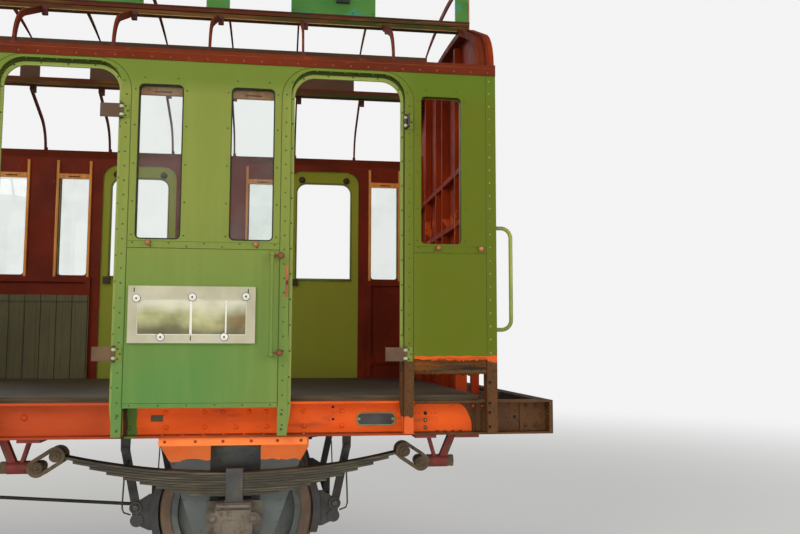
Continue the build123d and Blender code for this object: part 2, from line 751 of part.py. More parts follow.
def spring_bracket(end):
    """V bracket on two feet under the solebar, its sleeve and the eye bolt through it."""
    x1 = end * (SPRING_HALF + LINK_RUN)
    z1 = EYE_Z - LINK_DROP
    near = x1 + end * SLEEVE_START
    far = near + end * SLEEVE_LENGTH
    top = SOLEBAR_BOTTOM - BRACKET_FOOT_THICK
    half = BRACKET_DEPTH / 2
    left_top = near - end * BRACKET_NEAR_LEAN
    right_top = far + end * BRACKET_FAR_LEAN
    feet = []
    for x0, arm in ((near - end * BRACKET_NEAR_FOOT, left_top + end * BRACKET_ARM_SLIM),
                    (far + end * BRACKET_FAR_FOOT, right_top - end * BRACKET_ARM_WIDE)):
        feet.append(block(x0, arm, -INNER + 10, -JOURNAL_Y + half, top, SOLEBAR_BOTTOM))
    sleeve = rod_x(SLEEVE_RADIUS, near, far, -JOURNAL_Y, z1)
    middle = (near + far) / 2
    slim = BRACKET_ARM_SLIM
    wide = BRACKET_ARM_WIDE
    left = outline((left_top, top), (left_top + end * slim, top), (middle, z1), (middle - end * slim, z1))
    right = outline((right_top - end * wide, top), (right_top, top), (middle + end * wide, z1), (middle, z1))
    arms = prism_y(left, -JOURNAL_Y - half, -JOURNAL_Y + half)
    arms = arms + prism_y(right, -JOURNAL_Y - half, -JOURNAL_Y + half)
    bolt = rod_x(EYE_BOLT_RADIUS, x1, far + end * NUT_LENGTH, -JOURNAL_Y, z1)
    nut_face = Pos(-JOURNAL_Y, z1) * RegularPolygon(EYE_BOLT_NUT, 6)
    nut = prism_x(nut_face, far, far + end * NUT_LENGTH)
    eye = rod_y(EYE_RADIUS, x1, -JOURNAL_Y - half, -JOURNAL_Y + half, z1)
    hole = rod_y(PIN_RADIUS + PIN_GAP, x1, -JOURNAL_Y - half - 1, -JOURNAL_Y + half + 1, z1)
    return sleeve + arms + feet[0] + feet[1] + bolt + nut + eye - hole


def axle_guard():
    """Near side axle guard: forked plate, top plate and front lip under the solebar."""
    top = SOLEBAR_BOTTOM
    waist = SPRING_TOP + GUARD_LIP
    foot = AXLE_Z - GUARD_FOOT_DROP
    y0 = -GUARD_Y - GUARD_THICK / 2
    y1 = -GUARD_Y + GUARD_THICK / 2
    plate = outline(
        (-GUARD_HALF_TOP, top),
        (GUARD_HALF_TOP, top),
        (GUARD_HALF_TOP, top - 2 * GUARD_LIP),
        (GUARD_HALF_WAIST, waist),
        (GUARD_HALF_FOOT, BOX_BOTTOM + BOX_TAPER),
        (GUARD_HALF_FOOT - GUARD_TIE, foot),
        (GUARD_TIE - GUARD_HALF_FOOT, foot),
        (-GUARD_HALF_FOOT, BOX_BOTTOM + BOX_TAPER),
        (-GUARD_HALF_WAIST, waist),
        (-GUARD_HALF_TOP, top - 2 * GUARD_LIP),
    )
    low = foot + GUARD_TIE
    high = top - GUARD_LIP
    half = GUIDE_HALF + GUARD_GAP
    opening = Pos(0, (low + high) / 2) * RectangleRounded(2 * half, high - low, GUARD_TIE)
    fork = prism_y(plate - opening, y0, y1)
    reach = GUARD_HALF_TOP - HUB_INSET
    lip_y = -INNER + 15
    top_plate = block(-reach, reach, lip_y, y1, top - GUARD_THICK, top)
    lip = block(-reach, reach, lip_y, lip_y + GUARD_THICK, top - GUARD_LIP, top)
    return fork + top_plate + lip


# Brake gear


def brake_shoe(end):
    """Near side brake shoe on one side of the wheel, hollowed to the tread."""
    radius = TREAD_RADIUS + SHOE_GAP
    ring = Pos(0, AXLE_Z) * (Circle(radius + SHOE_THICK) - Circle(radius))
    clip = Pos(end * radius, AXLE_Z + SHOE_RISE) * Rectangle(radius, SHOE_HEIGHT)
    return prism_y(ring & clip, -SHOE_Y - SHOE_WIDTH / 2, -SHOE_Y + SHOE_WIDTH / 2)


def lever(x, low, high):
    """Flat lever across the coach's middle line, with a pin at both ends."""
    places = ((x, low), (x, high))
    flat = hull_of(*(Pos(px, pz) * Circle(JAW_RADIUS) for px, pz in places))
    bar = prism_y(flat, -LEVER_THICK / 2, LEVER_THICK / 2)
    reach = LEVER_THICK / 2 + JAW_GAP + JAW_THICK + 4
    for px, pz in places:
        bar = bar + rod_y(PIN_RADIUS, px, -reach, reach, pz)
    return bar


def hanger(end):
    """One strap on its pin and lugs, with the holder that carries the shoe and beam."""
    pin_x = end * HANGER_PIN_X
    ring_x = end * HANGER_RING_X
    ring_z = AXLE_Z + HANGER_RING_RISE
    beam_x = end * (SHOE_BACK + BEAM_BEHIND_SHOE)
    head = Pos(pin_x, HANGER_PIN_Z) * Circle(HANGER_HALF)
    seat = Pos(pin_x, BEARER_BOTTOM - 1) * Rectangle(BEARER_WIDTH, 2)
    strap = hull_of(head, Pos(ring_x, ring_z) * Circle(HANGER_HALF))
    back = Pos(end * SHOE_BACK, AXLE_Z) * Rectangle(HANGER_HALF, HANGER_BACK)
    foot = Pos(beam_x, BEAM_Z) * Circle(HANGER_HALF)
    holder = hull_of(back, Pos(ring_x, ring_z) * Circle(HANGER_HALF), foot)
    holder = holder - Pos(0, AXLE_Z) * Circle(SHOE_BACK)
    half = HANGER_THICK / 2
    out = half + JAW_GAP + JAW_THICK
    piece = prism_y(strap, -half, half) + prism_y(holder, -half, half)
    for side in (-1, 1):
        piece = piece + prism_y(hull_of(head, seat), side * (half + JAW_GAP), side * out)
    piece = piece + rod_y(PIN_RADIUS, pin_x, -out - PIN_HEAD, out + PIN_HEAD, HANGER_PIN_Z)
    piece = piece + rod_y(HANGER_BOSS, ring_x, -out, out, ring_z)
    return piece + rod_y(BEAM_CAP_RADIUS, beam_x, -out, out, BEAM_Z)


def brake_hangers(end):
    """Two hangers, the beam that joins them and its lever."""
    beam_x = end * (SHOE_BACK + BEAM_BEHIND_SHOE)
    beam = rod_y(BEAM_RADIUS, beam_x, -SHOE_Y, SHOE_Y, BEAM_Z)
    for y in (-SHOE_Y, SHOE_Y):
        beam = beam + Pos(0, y, 0) * hanger(end)
    return beam + lever(beam_x, LEVER_FOOT, LEVER_TOP)


def brake_shaft():
    """Cross shaft under the middle bearer with its double arm."""
    shaft = rod_y(SHAFT_RADIUS, 0, -SHAFT_HALF, SHAFT_HALF, SHAFT_Z)
    return shaft + lever(0, SHAFT_Z - SHAFT_ARM, SHAFT_Z + SHAFT_ARM)


def shaft_bracket():
    """Near side plate that carries the cross shaft below a centre sill."""
    seat = Pos(0, BEARER_BOTTOM - 1) * Rectangle(8 * SHAFT_RADIUS, 2)
    flat = hull_of(Pos(0, SHAFT_Z) * Circle(2 * SHAFT_RADIUS), seat)
    flat = flat - Pos(0, SHAFT_Z) * Circle(SHAFT_RADIUS + PIN_GAP)
    return prism_y(flat, -CENTRE_SILL_Y - HANGER_THICK / 2, -CENTRE_SILL_Y + HANGER_THICK / 2)


def pull_rod(x0, z0, x1, z1):
    """Brake rod between two lever pins, with a jaw over the lever at both ends."""
    length = math.hypot(x1 - x0, z1 - z0)
    slope = math.degrees(math.atan2(z1 - z0, x1 - x0))
    inside = LEVER_THICK / 2 + JAW_GAP
    outside = inside + JAW_THICK
    rod = rod_x(ROD_RADIUS, JAW_REACH, length - JAW_REACH, 0, 0)
    for pin, side in ((0, 1), (length, -1)):
        root = pin + side * JAW_REACH
        cheek = Pos(pin, 0) * Circle(JAW_RADIUS)
        cheek = cheek + Pos((pin + root) / 2, 0) * Rectangle(JAW_REACH, 2 * ROD_RADIUS)
        cheek = cheek - Pos(pin, 0) * Circle(PIN_RADIUS + PIN_GAP)
        rod = rod + prism_y(cheek, inside, outside) + prism_y(cheek, -outside, -inside)
        rod = rod + block(root - side * JAW_RADIUS / 2, root, -outside, outside, -ROD_RADIUS, ROD_RADIUS)
    return Pos(x0, 0, z0) * Rot(0, -slope, 0) * rod


def brake_rods():
    """Rods from the shaft to both inner beams, and over each axle to the outer ones."""
    inner = AXLE_X - SHOE_BACK - BEAM_BEHIND_SHOE
    outer = AXLE_X + SHOE_BACK + BEAM_BEHIND_SHOE
    return [
        pull_rod(0, SHAFT_Z - SHAFT_ARM, inner, LEVER_FOOT),
        pull_rod(-inner, LEVER_FOOT, 0, SHAFT_Z + SHAFT_ARM),
        pull_rod(inner, LEVER_TOP, outer, LEVER_TOP),
        pull_rod(-outer, LEVER_TOP, -inner, LEVER_TOP),
    ]


# Body side, drawn for the near side


def frame_face(door):
    """Outer outline of a door frame."""
    return Pos(door, 0) * arch(FRAME_HALF, LEG_BOTTOM, WALL_TOP, FRAME_CORNER)


def door_frame(door):
    """Frame round a doorway with rebate, inner lip and legs down to the solebar."""
    rebate = arch(REBATE_HALF, LEG_BOTTOM, REBATE_TOP, REBATE_CORNER)
    clear = arch(REBATE_HALF - LIP, LEG_BOTTOM, REBATE_TOP - LIP, REBATE_CORNER - LIP)
    frame = prism_y(frame_face(0) - rebate, -OUTER, -INNER)
    foot = LIP_BOTTOM + LIP_TAPER
    taper = outline(
        (-REBATE_HALF, LEG_BOTTOM),
        (-REBATE_HALF, LIP_BOTTOM),
        (LIP - REBATE_HALF, foot),
        (REBATE_HALF - LIP, foot),
        (REBATE_HALF, LIP_BOTTOM),
        (REBATE_HALF, LEG_BOTTOM),
    )
    lip = prism_y(rebate - clear - taper, -INNER - LIP_DEPTH, -INNER)
    return Pos(door, 0, 0) * (frame + lip)


def window_face(x0, x1):
    """Outline of one window."""
    middle = Pos((x0 + x1) / 2, (WINDOW_BOTTOM + WINDOW_TOP) / 2)
    return middle * RectangleRounded(x1 - x0, WINDOW_HEIGHT, WINDOW_CORNER)


def window_cut(x0, x1):
    """Cutter for one window through the side wall and its framing."""
    return prism_y(window_face(x0, x1), -OUTER - 1, -FRAMED + 1)


def framing(x0, x1):
    """Low rail, sill rail and end posts on the inside of one wall panel."""
    bars = block(x0, x1, -INNER, -FRAMED, LOW_RAIL_BOTTOM, LOW_RAIL_TOP)
    bars = bars + block(x0, x1, -INNER, -FRAMED, SILL_BOTTOM, SILL_TOP)
    for x in (x0, x1 - FRAMING_POST):
        bars = bars + block(x, x + FRAMING_POST, -INNER, -FRAMED, SOLEBAR_TOP, SILL_TOP)
    return bars


def middle_panel(door):
    """Wall between one doorway and the next, with two windows."""
    after = door + DOOR_PITCH
    flat = Pos((door + after) / 2, (WALL_BOTTOM + WALL_TOP) / 2) * Rectangle(DOOR_PITCH, WALL_HEIGHT)
    flat = flat - frame_face(door) - frame_face(after)
    panel = prism_y(flat, -OUTER, -INNER) + framing(door + FRAME_HALF, after - FRAME_HALF)
    panel = panel - window_cut(door + WINDOW_NEAR, door + WINDOW_FAR)
    return panel - window_cut(after - WINDOW_FAR, after - WINDOW_NEAR)


def end_panel():
    """Wall from the last doorway to the plus X corner, with one window and the corner post."""
    door = LAST_DOOR
    end = HALF_LENGTH
    flat = Pos((door + end) / 2, (WALL_BOTTOM + WALL_TOP) / 2) * Rectangle(end - door, WALL_HEIGHT)
    middle = Pos(end - CORNER_POST / 2, (LEG_BOTTOM + WALL_TOP) / 2)
    post = middle * Rectangle(CORNER_POST, WALL_TOP - LEG_BOTTOM)
    panel = prism_y(flat + post - frame_face(door), -OUTER, -INNER)
    panel = panel + framing(door + FRAME_HALF, END_WALL_X)
    return panel - window_cut(door + WINDOW_NEAR, door + WINDOW_FAR)


# Steps along the ragged foot of the cut sheet: distance from the door frame, rise
RAGGED_EDGE = ((0, 8), (60, -4), (140, 6), (210, 12), (300, 2), (360, 14), (430, 10))


def cut_away(panel):
    """Near corner panel with its rotten foot cut away, above and below a rail."""
    x0 = LAST_DOOR + FRAME_HALF
    x1 = HALF_LENGTH - CORNER_POST
    edge = [(x0 + step, CUT_TOP + rise) for step, rise in RAGGED_EDGE if step < x1 - x0]
    sheet = outline((x0, LOW_RAIL_TOP), *edge, (x1, CUT_TOP), (x1, LOW_RAIL_TOP))
    face = -OUTER + CUT_RAIL_SETBACK
    bare = prism_y(sheet, -OUTER, face)
    rail_face = block(x0, x1, -OUTER, face, LOW_RAIL_BOTTOM, LOW_RAIL_TOP)
    below = block(x0, x1, -OUTER, -FRAMED, WALL_BOTTOM, LOW_RAIL_BOTTOM)
    return panel - bare - rail_face - below


def cant_rail():
    """Rail along the top of the near side wall."""
    return block(-HALF_LENGTH, HALF_LENGTH, -OUTER - CANT_RAIL_PROUD, -INNER, WALL_TOP, CANT_TOP)


def pane(x0, x1):
    """One window pane, held in the wall's window opening."""
    front = -OUTER + GLASS_DEPTH
    return prism_y(window_face(x0, x1), front, front + GLASS)


def battens(x0, x1):
    """Wooden battens inside one window: two uprights and a slotted head."""
    left = x0 - BATTEN_GAP - BATTEN_WIDTH
    right = x1 + BATTEN_GAP + BATTEN_WIDTH
    y0 = -INNER
    y1 = -INNER + BATTEN_DEPTH
    high = WALL_TOP - BATTEN_TOP_DROP
    frame = block(left, left + BATTEN_WIDTH, y0, y1, SILL_TOP, high)
    frame = frame + block(right - BATTEN_WIDTH, right, y0, y1, SILL_TOP, high)
    frame = frame + block(left, right, y0, y1, WINDOW_TOP - HEAD_BATTEN, WINDOW_TOP)
    middle = (x0 + x1) / 2
    slot_top = WINDOW_TOP - SLOT_DROP
    half = SLOT_LENGTH / 2
    return frame - block(middle - half, middle + half, y0, y1, slot_top - SLOT_HEIGHT, slot_top)


def wainscot(door):
    """Boarded lining with its cap rail, on the far wall after one doorway."""
    x0 = door + FRAME_HALF
    x1 = door + DOOR_PITCH - FRAME_HALF
    top = FLOOR_TOP + WAINSCOT_HEIGHT
    lining = block(x0, x1, FRAMED - BOARD_THICK, FRAMED, FLOOR_TOP, top)
    pitch = (x1 - x0) / BOARDS
    face = FRAMED - BOARD_THICK
    for n in range(1, BOARDS):
        start = x0 + n * pitch - BOARD_GROOVE / 2
        lining = lining - block(start, start + BOARD_GROOVE, face, face + 3, FLOOR_TOP, top)
    return lining + block(x0, x1, FRAMED - WAINSCOT_RAIL_DEPTH, FRAMED, top, top + WAINSCOT_RAIL)


# Roof


def roof_outline(depth):
    """Area under one side's roof curve, moved inwards by a depth."""
    radius = EAVES_RADIUS - depth
    centre_y = OUTER - EAVES_INSET - EAVES_RADIUS + CANT_RAIL_PROUD
    turn = math.radians(EAVES_TURN)
    knee = (centre_y + radius * math.cos(turn), CANT_TOP + radius * math.sin(turn))
    middle = (centre_y + radius * math.cos(turn / 2), CANT_TOP + radius * math.sin(turn / 2))
    foot = (centre_y + radius, CANT_TOP)
    top = (CLERESTORY_HALF, ROOF_TOP - depth / math.sin(turn))
    low = (CLERESTORY_HALF, CANT_TOP)
    curve = ThreePointArc(foot, middle, knee)
    rest = Polyline(knee, top, low, foot)
    return make_face([*curve.edges(), *rest.edges()])


def roof_bow(x0, x1, outside, inside):
    """Near side roof bow between two depths below the roof line."""
    flat = roof_outline(outside) - roof_outline(inside)
    return mirror(prism_x(flat, x0, x1), Plane.XZ)


def end_hoop():
    """Near side double hoop against the plus X end wall: two flanges and a web."""
    x1 = END_WALL_X
    x0 = x1 - HOOP_WIDTH
    hoop = roof_bow(x0, x0 + HOOP_FLANGE, 0, BOW_DEPTH)
    hoop = hoop + roof_bow(x1 - HOOP_FLANGE, x1, 0, BOW_DEPTH)
    return hoop + roof_bow(x0, x1, HOOP_WEB, BOW_DEPTH)


def end_arch(depth):
    """Area of the end wall between the clerestory beams, its curved top moved down by a depth."""
    foot = ROOF_TOP - depth
    left = (-CLERESTORY_HALF, foot)
    right = (CLERESTORY_HALF, foot)
    curve = ThreePointArc(left, (0, BEAM_TOP - depth), right)
    rest = Polyline(right, (CLERESTORY_HALF, CANT_TOP), (-CLERESTORY_HALF, CANT_TOP), left)
    return make_face([*curve.edges(), *rest.edges()])


def cross_hoop():
    """Double hoop between the clerestory beams at the plus X end."""
    clip = Pos(0, ROOF_TOP) * Rectangle(2 * (CLERESTORY_HALF - BEAM_WIDTH), ROOF_RISE)
    flange = (end_arch(0) - end_arch(BOW_DEPTH)) & clip
    web = (end_arch(HOOP_WEB) - end_arch(BOW_DEPTH)) & clip
    x1 = END_WALL_X
    x0 = x1 - CROSS_HOOP_WIDTH
    hoop = prism_x(flange, x0, x0 + HOOP_FLANGE) + prism_x(flange, x1 - HOOP_FLANGE, x1)
    return hoop + prism_x(web, x0, x1)


def base_beam():
    """Beam under the near side of the clerestory, grooved along its outer face."""
    out = -CLERESTORY_HALF
    beam = block(-END_WALL_X, END_WALL_X, out, out + BEAM_WIDTH, BEAM_BOTTOM, BEAM_TOP)
    middle = (BEAM_BOTTOM + BEAM_TOP) / 2
    half = BEAM_GROOVE / 2
    return beam - block(-END_WALL_X, END_WALL_X, out, out + BEAM_GROOVE, middle - half, middle + half)


def clerestory_lights():
    """Start and end of every light along the clerestory."""
    lights = []
    for door in DOORS[:-1]:
        after = door + DOOR_PITCH
        post = (door + after) / 2
        lights.append((door + VENT_PANEL_HALF, post - VENT_POST / 2))
        lights.append((post + VENT_POST / 2, after - VENT_PANEL_HALF))
    start = LAST_DOOR + END_VENT_OFFSET
    lights.append((start, start + END_LIGHT_LENGTH))
    lights.append((-start - END_LIGHT_LENGTH, -start))
    return sorted(lights)


def clerestory_panels():
    """Near side panels between the lights, from the base beam to the top rail."""
    starts = [-END_WALL_X] + [x1 for x0, x1 in clerestory_lights()]
    ends = [x0 for x0, x1 in clerestory_lights()] + [END_WALL_X]
    y0 = -CLERESTORY_OUT
    return [block(a, b, y0, y0 + CLERESTORY_WALL, BEAM_TOP, LIGHT_TOP) for a, b in zip(starts, ends)]


def clerestory_rail():
    """Near side top rail of the clerestory."""
    y0 = -CLERESTORY_OUT
    return block(-END_WALL_X, END_WALL_X, y0, y0 + CLERESTORY_WALL, LIGHT_TOP, CLERESTORY_TOP)


def clerestory_vent(door):
    """Small arched vent hood on a near side clerestory panel."""
    low = BEAM_TOP + VENT_RISE
    hood = Pos(door, 0) * arch(VENT_HALF, low, low + VENT_HEIGHT, VENT_HALF * 0.9)
    return prism_y(hood, -CLERESTORY_OUT - VENT_DEPTH, -CLERESTORY_OUT)


def clerestory_outline(depth):
    """Area under the clerestory's shallow roof curve."""
    crown = (0, CLERESTORY_TOP + CLERESTORY_RISE - depth)
    left = (-CLERESTORY_OUT, CLERESTORY_TOP)
    right = (CLERESTORY_OUT, CLERESTORY_TOP)
    curve = ThreePointArc(left, crown, right)
    return make_face([*curve.edges(), *Polyline(right, left).edges()])


def clerestory_bow(x):
    """Bow across the clerestory."""
    flat = clerestory_outline(0) - clerestory_outline(BOW_DEPTH)
    return prism_x(flat, x - BOW_WIDTH / 2, x + BOW_WIDTH / 2)


def end_wall():
    """End wall of the plus X end, up to the roof curve and the clerestory's foot, with its ribs."""
    low = Pos(0, (SOLEBAR_TOP + CANT_TOP) / 2) * Rectangle(2 * INNER, CANT_TOP - SOLEBAR_TOP)
    eaves = roof_outline(0)
    side_roof = eaves + mirror(eaves, Plane.YZ)
    wall = prism_x(low + side_roof + end_arch(0), END_WALL_X, HALF_LENGTH)
    front = END_WALL_X - RIB_DEPTH
    for places, top in ((OUTER_RIBS, CANT_TOP), (INNER_RIBS, ROOF_TOP - BOW_DEPTH)):
        for y in places:
            wall = wall + block(front, END_WALL_X, y, y + RIB_WEB, SOLEBAR_TOP, top)
            wall = wall + block(front, front + RIB_WEB, y, y + RIB_FLANGE, SOLEBAR_TOP, top)
    for rise in END_RAIL_RISES:
        rail = FLOOR_TOP + rise
        wall = wall + block(front, END_WALL_X, -FRAMED, FRAMED, rail, rail + END_RAIL_HEIGHT)
    return wall


def cut_foot(wall):
    """End wall of the plus X end with its rotten foot cut away beside the near corner post."""
    near = CORNER_POST - INNER
    return wall - block(END_WALL_X, HALF_LENGTH, near, INNER_RIBS[0], SOLEBAR_TOP, CUT_TOP)


# Far side doors


def door_leaf(door):
    """Far side door: leaf with a drop light, bumpers, lock, handle and hinge straps."""
    half = REBATE_HALF - DOOR_GAP
    top = REBATE_TOP - DOOR_GAP
    face = arch(half, FLOOR_TOP - DOOR_FOOT_DROP, top, REBATE_CORNER - DOOR_GAP)
    light_top = WALL_TOP - DOOR_LIGHT_HEAD
    light = arch(DOOR_LIGHT_HALF, light_top - DOOR_LIGHT_HEIGHT, light_top, DOOR_LIGHT_CORNER)
    leaf = prism_y(face - light, DOOR_IN, DOOR_OUT)
    for x in (-BUMPER_X, BUMPER_X):
        leaf = leaf + rod_y(BUMPER_RADIUS, x, DOOR_IN - BUMPER_THICK, DOOR_IN, WALL_TOP - BUMPER_DROP)
    lock = FLOOR_TOP + LOCK_RISE
    size = LOCK_SIZE / 2
    lock_in = DOOR_IN - LOCK_THICK
    leaf = leaf + block(-LOCK_X - size, -LOCK_X + size, lock_in, DOOR_IN, lock - size, lock + size)
    tip = DOOR_OUT + HANDLE_REACH
    leaf = leaf + rod_y(HANDLE_RADIUS, -LOCK_X, DOOR_OUT, tip, lock)
    leaf = leaf + rod_z(HANDLE_RADIUS, -LOCK_X, tip, lock - HANDLE_HALF, lock + HANDLE_HALF)
    strap_out = HINGE_Y + 8 - KNUCKLE_RADIUS
    reach = KNUCKLE / 2 - KNUCKLE_END_GAP
    for z in HINGE_HEIGHTS:
        knuckle = rod_z(KNUCKLE_RADIUS, REBATE_HALF, HINGE_Y, z - reach, z + reach)
        strap_start = REBATE_HALF - HINGE_STRAP_LENGTH
        strap = block(strap_start, REBATE_HALF, DOOR_OUT, strap_out, z - reach, z + reach)
        leaf = leaf + knuckle + strap
        hole = rod_z(HINGE_PIN_RADIUS + HINGE_PIN_GAP, REBATE_HALF, HINGE_Y, z - reach - 1, z + reach + 1)
        leaf = leaf - hole
    return Pos(door, 0, 0) * leaf


def door_hinge(door, z):
    """Fixed half of a far side hinge: jamb plates, outer knuckles and the pin."""
    axis_x = door + REBATE_HALF
    plate_out = HINGE_Y + 8 - KNUCKLE_RADIUS
    hinge = rod_z(HINGE_PIN_RADIUS, axis_x, HINGE_Y, z - HINGE_LENGTH / 2, z + HINGE_LENGTH / 2)
    for z0 in (z - HINGE_LENGTH / 2, z + KNUCKLE / 2):
        hinge = hinge + rod_z(KNUCKLE_RADIUS, axis_x, HINGE_Y, z0, z0 + KNUCKLE)
        hinge = hinge + block(axis_x + 2, axis_x + HINGE_JAMB_LENGTH, OUTER, plate_out, z0, z0 + KNUCKLE)
    return hinge


def left_hinge(door, z, with_leaf):
    """Hinge left on a near side doorway whose door is gone."""
    x = door + REBATE_HALF + 4
    y = -OUTER - KNUCKLE_RADIUS
    half = LEFT_LEAF_HEIGHT / 2
    hinge = rod_z(KNUCKLE_RADIUS, x, y, z - half, z + half)
    hinge = hinge + block(x, x + LEFT_JAMB_LENGTH, -OUTER - HINGE_STRAP, -OUTER, z - half, z + half)
    if with_leaf:
        thick = LEFT_LEAF_THICK / 2
        hinge = hinge + block(x - LEFT_LEAF_LENGTH, x, y - thick, y + thick, z - half, z + half)
    return hinge


# Handrails and the notice frame


def side_handrail(door):
    """Vertical handrail beside a near side doorway."""
    x = door - RAIL_OFFSET
    y = -OUTER - RAIL_STANDOFF
    low = FLOOR_TOP + RAIL_RISE
    high = low + RAIL_LENGTH
    rail = rod_z(RAIL_RADIUS, x, y, low, high)
    for z in (low, high):
        rail = rail + Pos(x, y, z) * Sphere(RAIL_BALL)
        rail = rail + rod_y(RAIL_STEM, x, y, -OUTER, z)
    return rail


def end_handrail():
    """Handrail loop on the plus X end wall, by the near corner."""
    y = -OUTER + END_RAIL_INSET
    x0 = HALF_LENGTH
    x1 = HALF_LENGTH + END_RAIL_REACH
    low = FLOOR_TOP + END_RAIL_FOOT
    high = low + END_RAIL_LENGTH
    wire = FilletPolyline((x0, y, low), (x1, y, low), (x1, y, high), (x0, y, high), radius=END_RAIL_CORNER)
    section = Plane(origin=(x0, y, low), z_dir=(1, 0, 0)) * Circle(END_RAIL_RADIUS)
    return sweep(section, path=wire)


def notice_frame():
    """Framed notice board on the wall between the last two near side doors."""
    x0 = LAST_DOOR - NOTICE_START
    x1 = x0 + NOTICE_LENGTH
    z0 = FLOOR_TOP + NOTICE_RISE
    z1 = z0 + NOTICE_HEIGHT
    y = -OUTER
    frame = block(x0, x1, y - NOTICE_THICK, y, z0, z1)
    hole = block(x0 + NOTICE_SIDE, x1 - NOTICE_SIDE, y - NOTICE_THICK, y, z0 + NOTICE_FOOT, z1 - NOTICE_HEAD)
    return frame - hole


def notice_pane():
    """Blank pane in the notice frame."""
    x0 = LAST_DOOR - NOTICE_START
    x1 = x0 + NOTICE_LENGTH
    z0 = FLOOR_TOP + NOTICE_RISE
    z1 = z0 + NOTICE_HEIGHT
    y = -OUTER
    return block(x0 + NOTICE_SIDE, x1 - NOTICE_SIDE, y - NOTICE_PANE, y, z0 + NOTICE_FOOT, z1 - NOTICE_HEAD)


# Write every node

save("solebars", both_sides(solebar()))
save("headstocks", both_ends(headstock()))
save("cross_bearers", cross_bearers())
save("centre_sills", both_sides(centre_sill()))
plates = [patch_plate(), web_stiffener(), corner_knee()]
save("solebar_plates", [one for plate in plates for side in both_ends(plate) for one in both_sides(side)])
save("name_plate", [name_plate()])
save("floor", [floor()])
save("leaf_springs", at_corners(leaf_spring()))
save("spring_buckles", at_corners(spring_buckle()))
save("spring_links", at_corners(spring_link(1)) + at_corners(spring_link(-1)))
save("spring_brackets", at_corners(spring_bracket(1)) + at_corners(spring_bracket(-1)))
save("axle_guards", at_corners(axle_guard()))
save("axle_boxes", at_corners(axle_box()))
save("brake_shoes", at_corners(brake_shoe(1)) + at_corners(brake_shoe(-1)))
save("brake_hangers", at_axles(brake_hangers(1)) + at_axles(brake_hangers(-1)))
save("brake_shaft", [brake_shaft(), *both_sides(shaft_bracket())])
save("brake_rods", brake_rods())
for label, place in (("front", AXLE_X), ("rear", -AXLE_X)):
    save(f"axle_{label}", [Pos(place, 0, 0) * axle()])
    save(f"tyres_{label}", [Pos(place, 0, 0) * one for one in both_sides(tyre())])
    save(f"wheel_centres_{label}", [Pos(place, 0, 0) * one for one in both_sides(wheel_centre())])

frames = [door_frame(door) for door in DOORS]
panels = [middle_panel(door) for door in DOORS[:-1]]
corner = end_panel()
other_corner = mirror(corner, Plane.YZ)
save("near_door_frames", frames)
save("far_door_frames", [mirror(one, Plane.XZ) for one in frames])
save("near_wall_panels", panels)
save("far_wall_panels", [mirror(one, Plane.XZ) for one in panels])
save("near_corner_panels", [cut_away(corner), other_corner])
save("far_corner_panels", [mirror(corner, Plane.XZ), mirror(other_corner, Plane.XZ)])
save("cant_rails", both_sides(cant_rail()))

openings = []
for door in DOORS:
    openings.append((door - WINDOW_FAR, door - WINDOW_NEAR))
    openings.append((door + WINDOW_NEAR, door + WINDOW_FAR))
near_panes = [pane(x0, x1) for x0, x1 in openings]
near_battens = [battens(x0, x1) for x0, x1 in openings]
save("near_windows", near_panes[:-1])
save("far_windows", [mirror(one, Plane.XZ) for one in near_panes])
save("window_battens", near_battens[:-1] + [mirror(one, Plane.XZ) for one in near_battens])
save("wainscot", [wainscot(DOORS[COMPARTMENTS // 2])])

bows = [roof_bow(x - BOW_WIDTH / 2, x + BOW_WIDTH / 2, 0, BOW_DEPTH) for x in BOWS]
save("roof_bows", [one for bow in bows for one in both_sides(bow)])
hoops = [*both_sides(end_hoop()), cross_hoop()]
save("end_hoops", [one for hoop in hoops for one in both_ends(hoop)])
save("clerestory_beams", both_sides(base_beam()))
save("clerestory_panels", [one for panel in clerestory_panels() for one in both_sides(panel)])
save("clerestory_rails", both_sides(clerestory_rail()))
save("clerestory_vents", [one for door in DOORS for one in both_sides(clerestory_vent(door))])
last_bow = END_WALL_X - BOW_WIDTH / 2
save("clerestory_bows", [clerestory_bow(x) for x in (-last_bow, *BOWS, last_bow)])
save("end_walls", [cut_foot(end_wall()), mirror(end_wall(), Plane.YZ)])

for number, door in enumerate(DOORS, start=1):
    save(f"far_door_{number}", [door_leaf(door)])
save("far_door_hinges", [door_hinge(door, z) for door in DOORS for z in HINGE_HEIGHTS])
hinge_places = [(door, z) for door in DOORS for z in HINGE_HEIGHTS]
bare_hinge = hinge_places[-1]
save("near_hinge_leaves", [left_hinge(*place, place != bare_hinge) for place in hinge_places])
near_rails = [side_handrail(door) for door in DOORS]
save("side_handrails", near_rails + [mirror(one, Plane.XZ) for one in near_rails])
save("end_handrails", [one for loop in both_sides(end_handrail()) for one in both_ends(loop)])
save("notice_frame", [notice_frame()])
save("notice_pane", [notice_pane()])
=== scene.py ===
import math
import random

import bmesh
import bpy
from mathutils import Matrix, Vector


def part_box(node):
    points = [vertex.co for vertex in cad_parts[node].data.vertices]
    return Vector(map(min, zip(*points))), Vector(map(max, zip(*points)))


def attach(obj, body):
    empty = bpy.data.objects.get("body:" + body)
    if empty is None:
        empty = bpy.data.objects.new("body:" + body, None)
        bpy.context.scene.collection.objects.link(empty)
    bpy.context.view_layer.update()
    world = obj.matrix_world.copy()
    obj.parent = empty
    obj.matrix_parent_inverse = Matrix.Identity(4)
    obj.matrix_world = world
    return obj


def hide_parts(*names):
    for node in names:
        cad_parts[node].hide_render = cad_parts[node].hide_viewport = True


# Looks of a two-axle compartment coach, stripped for repair. Metres, X along
# the coach, Y across it, Z up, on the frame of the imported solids.

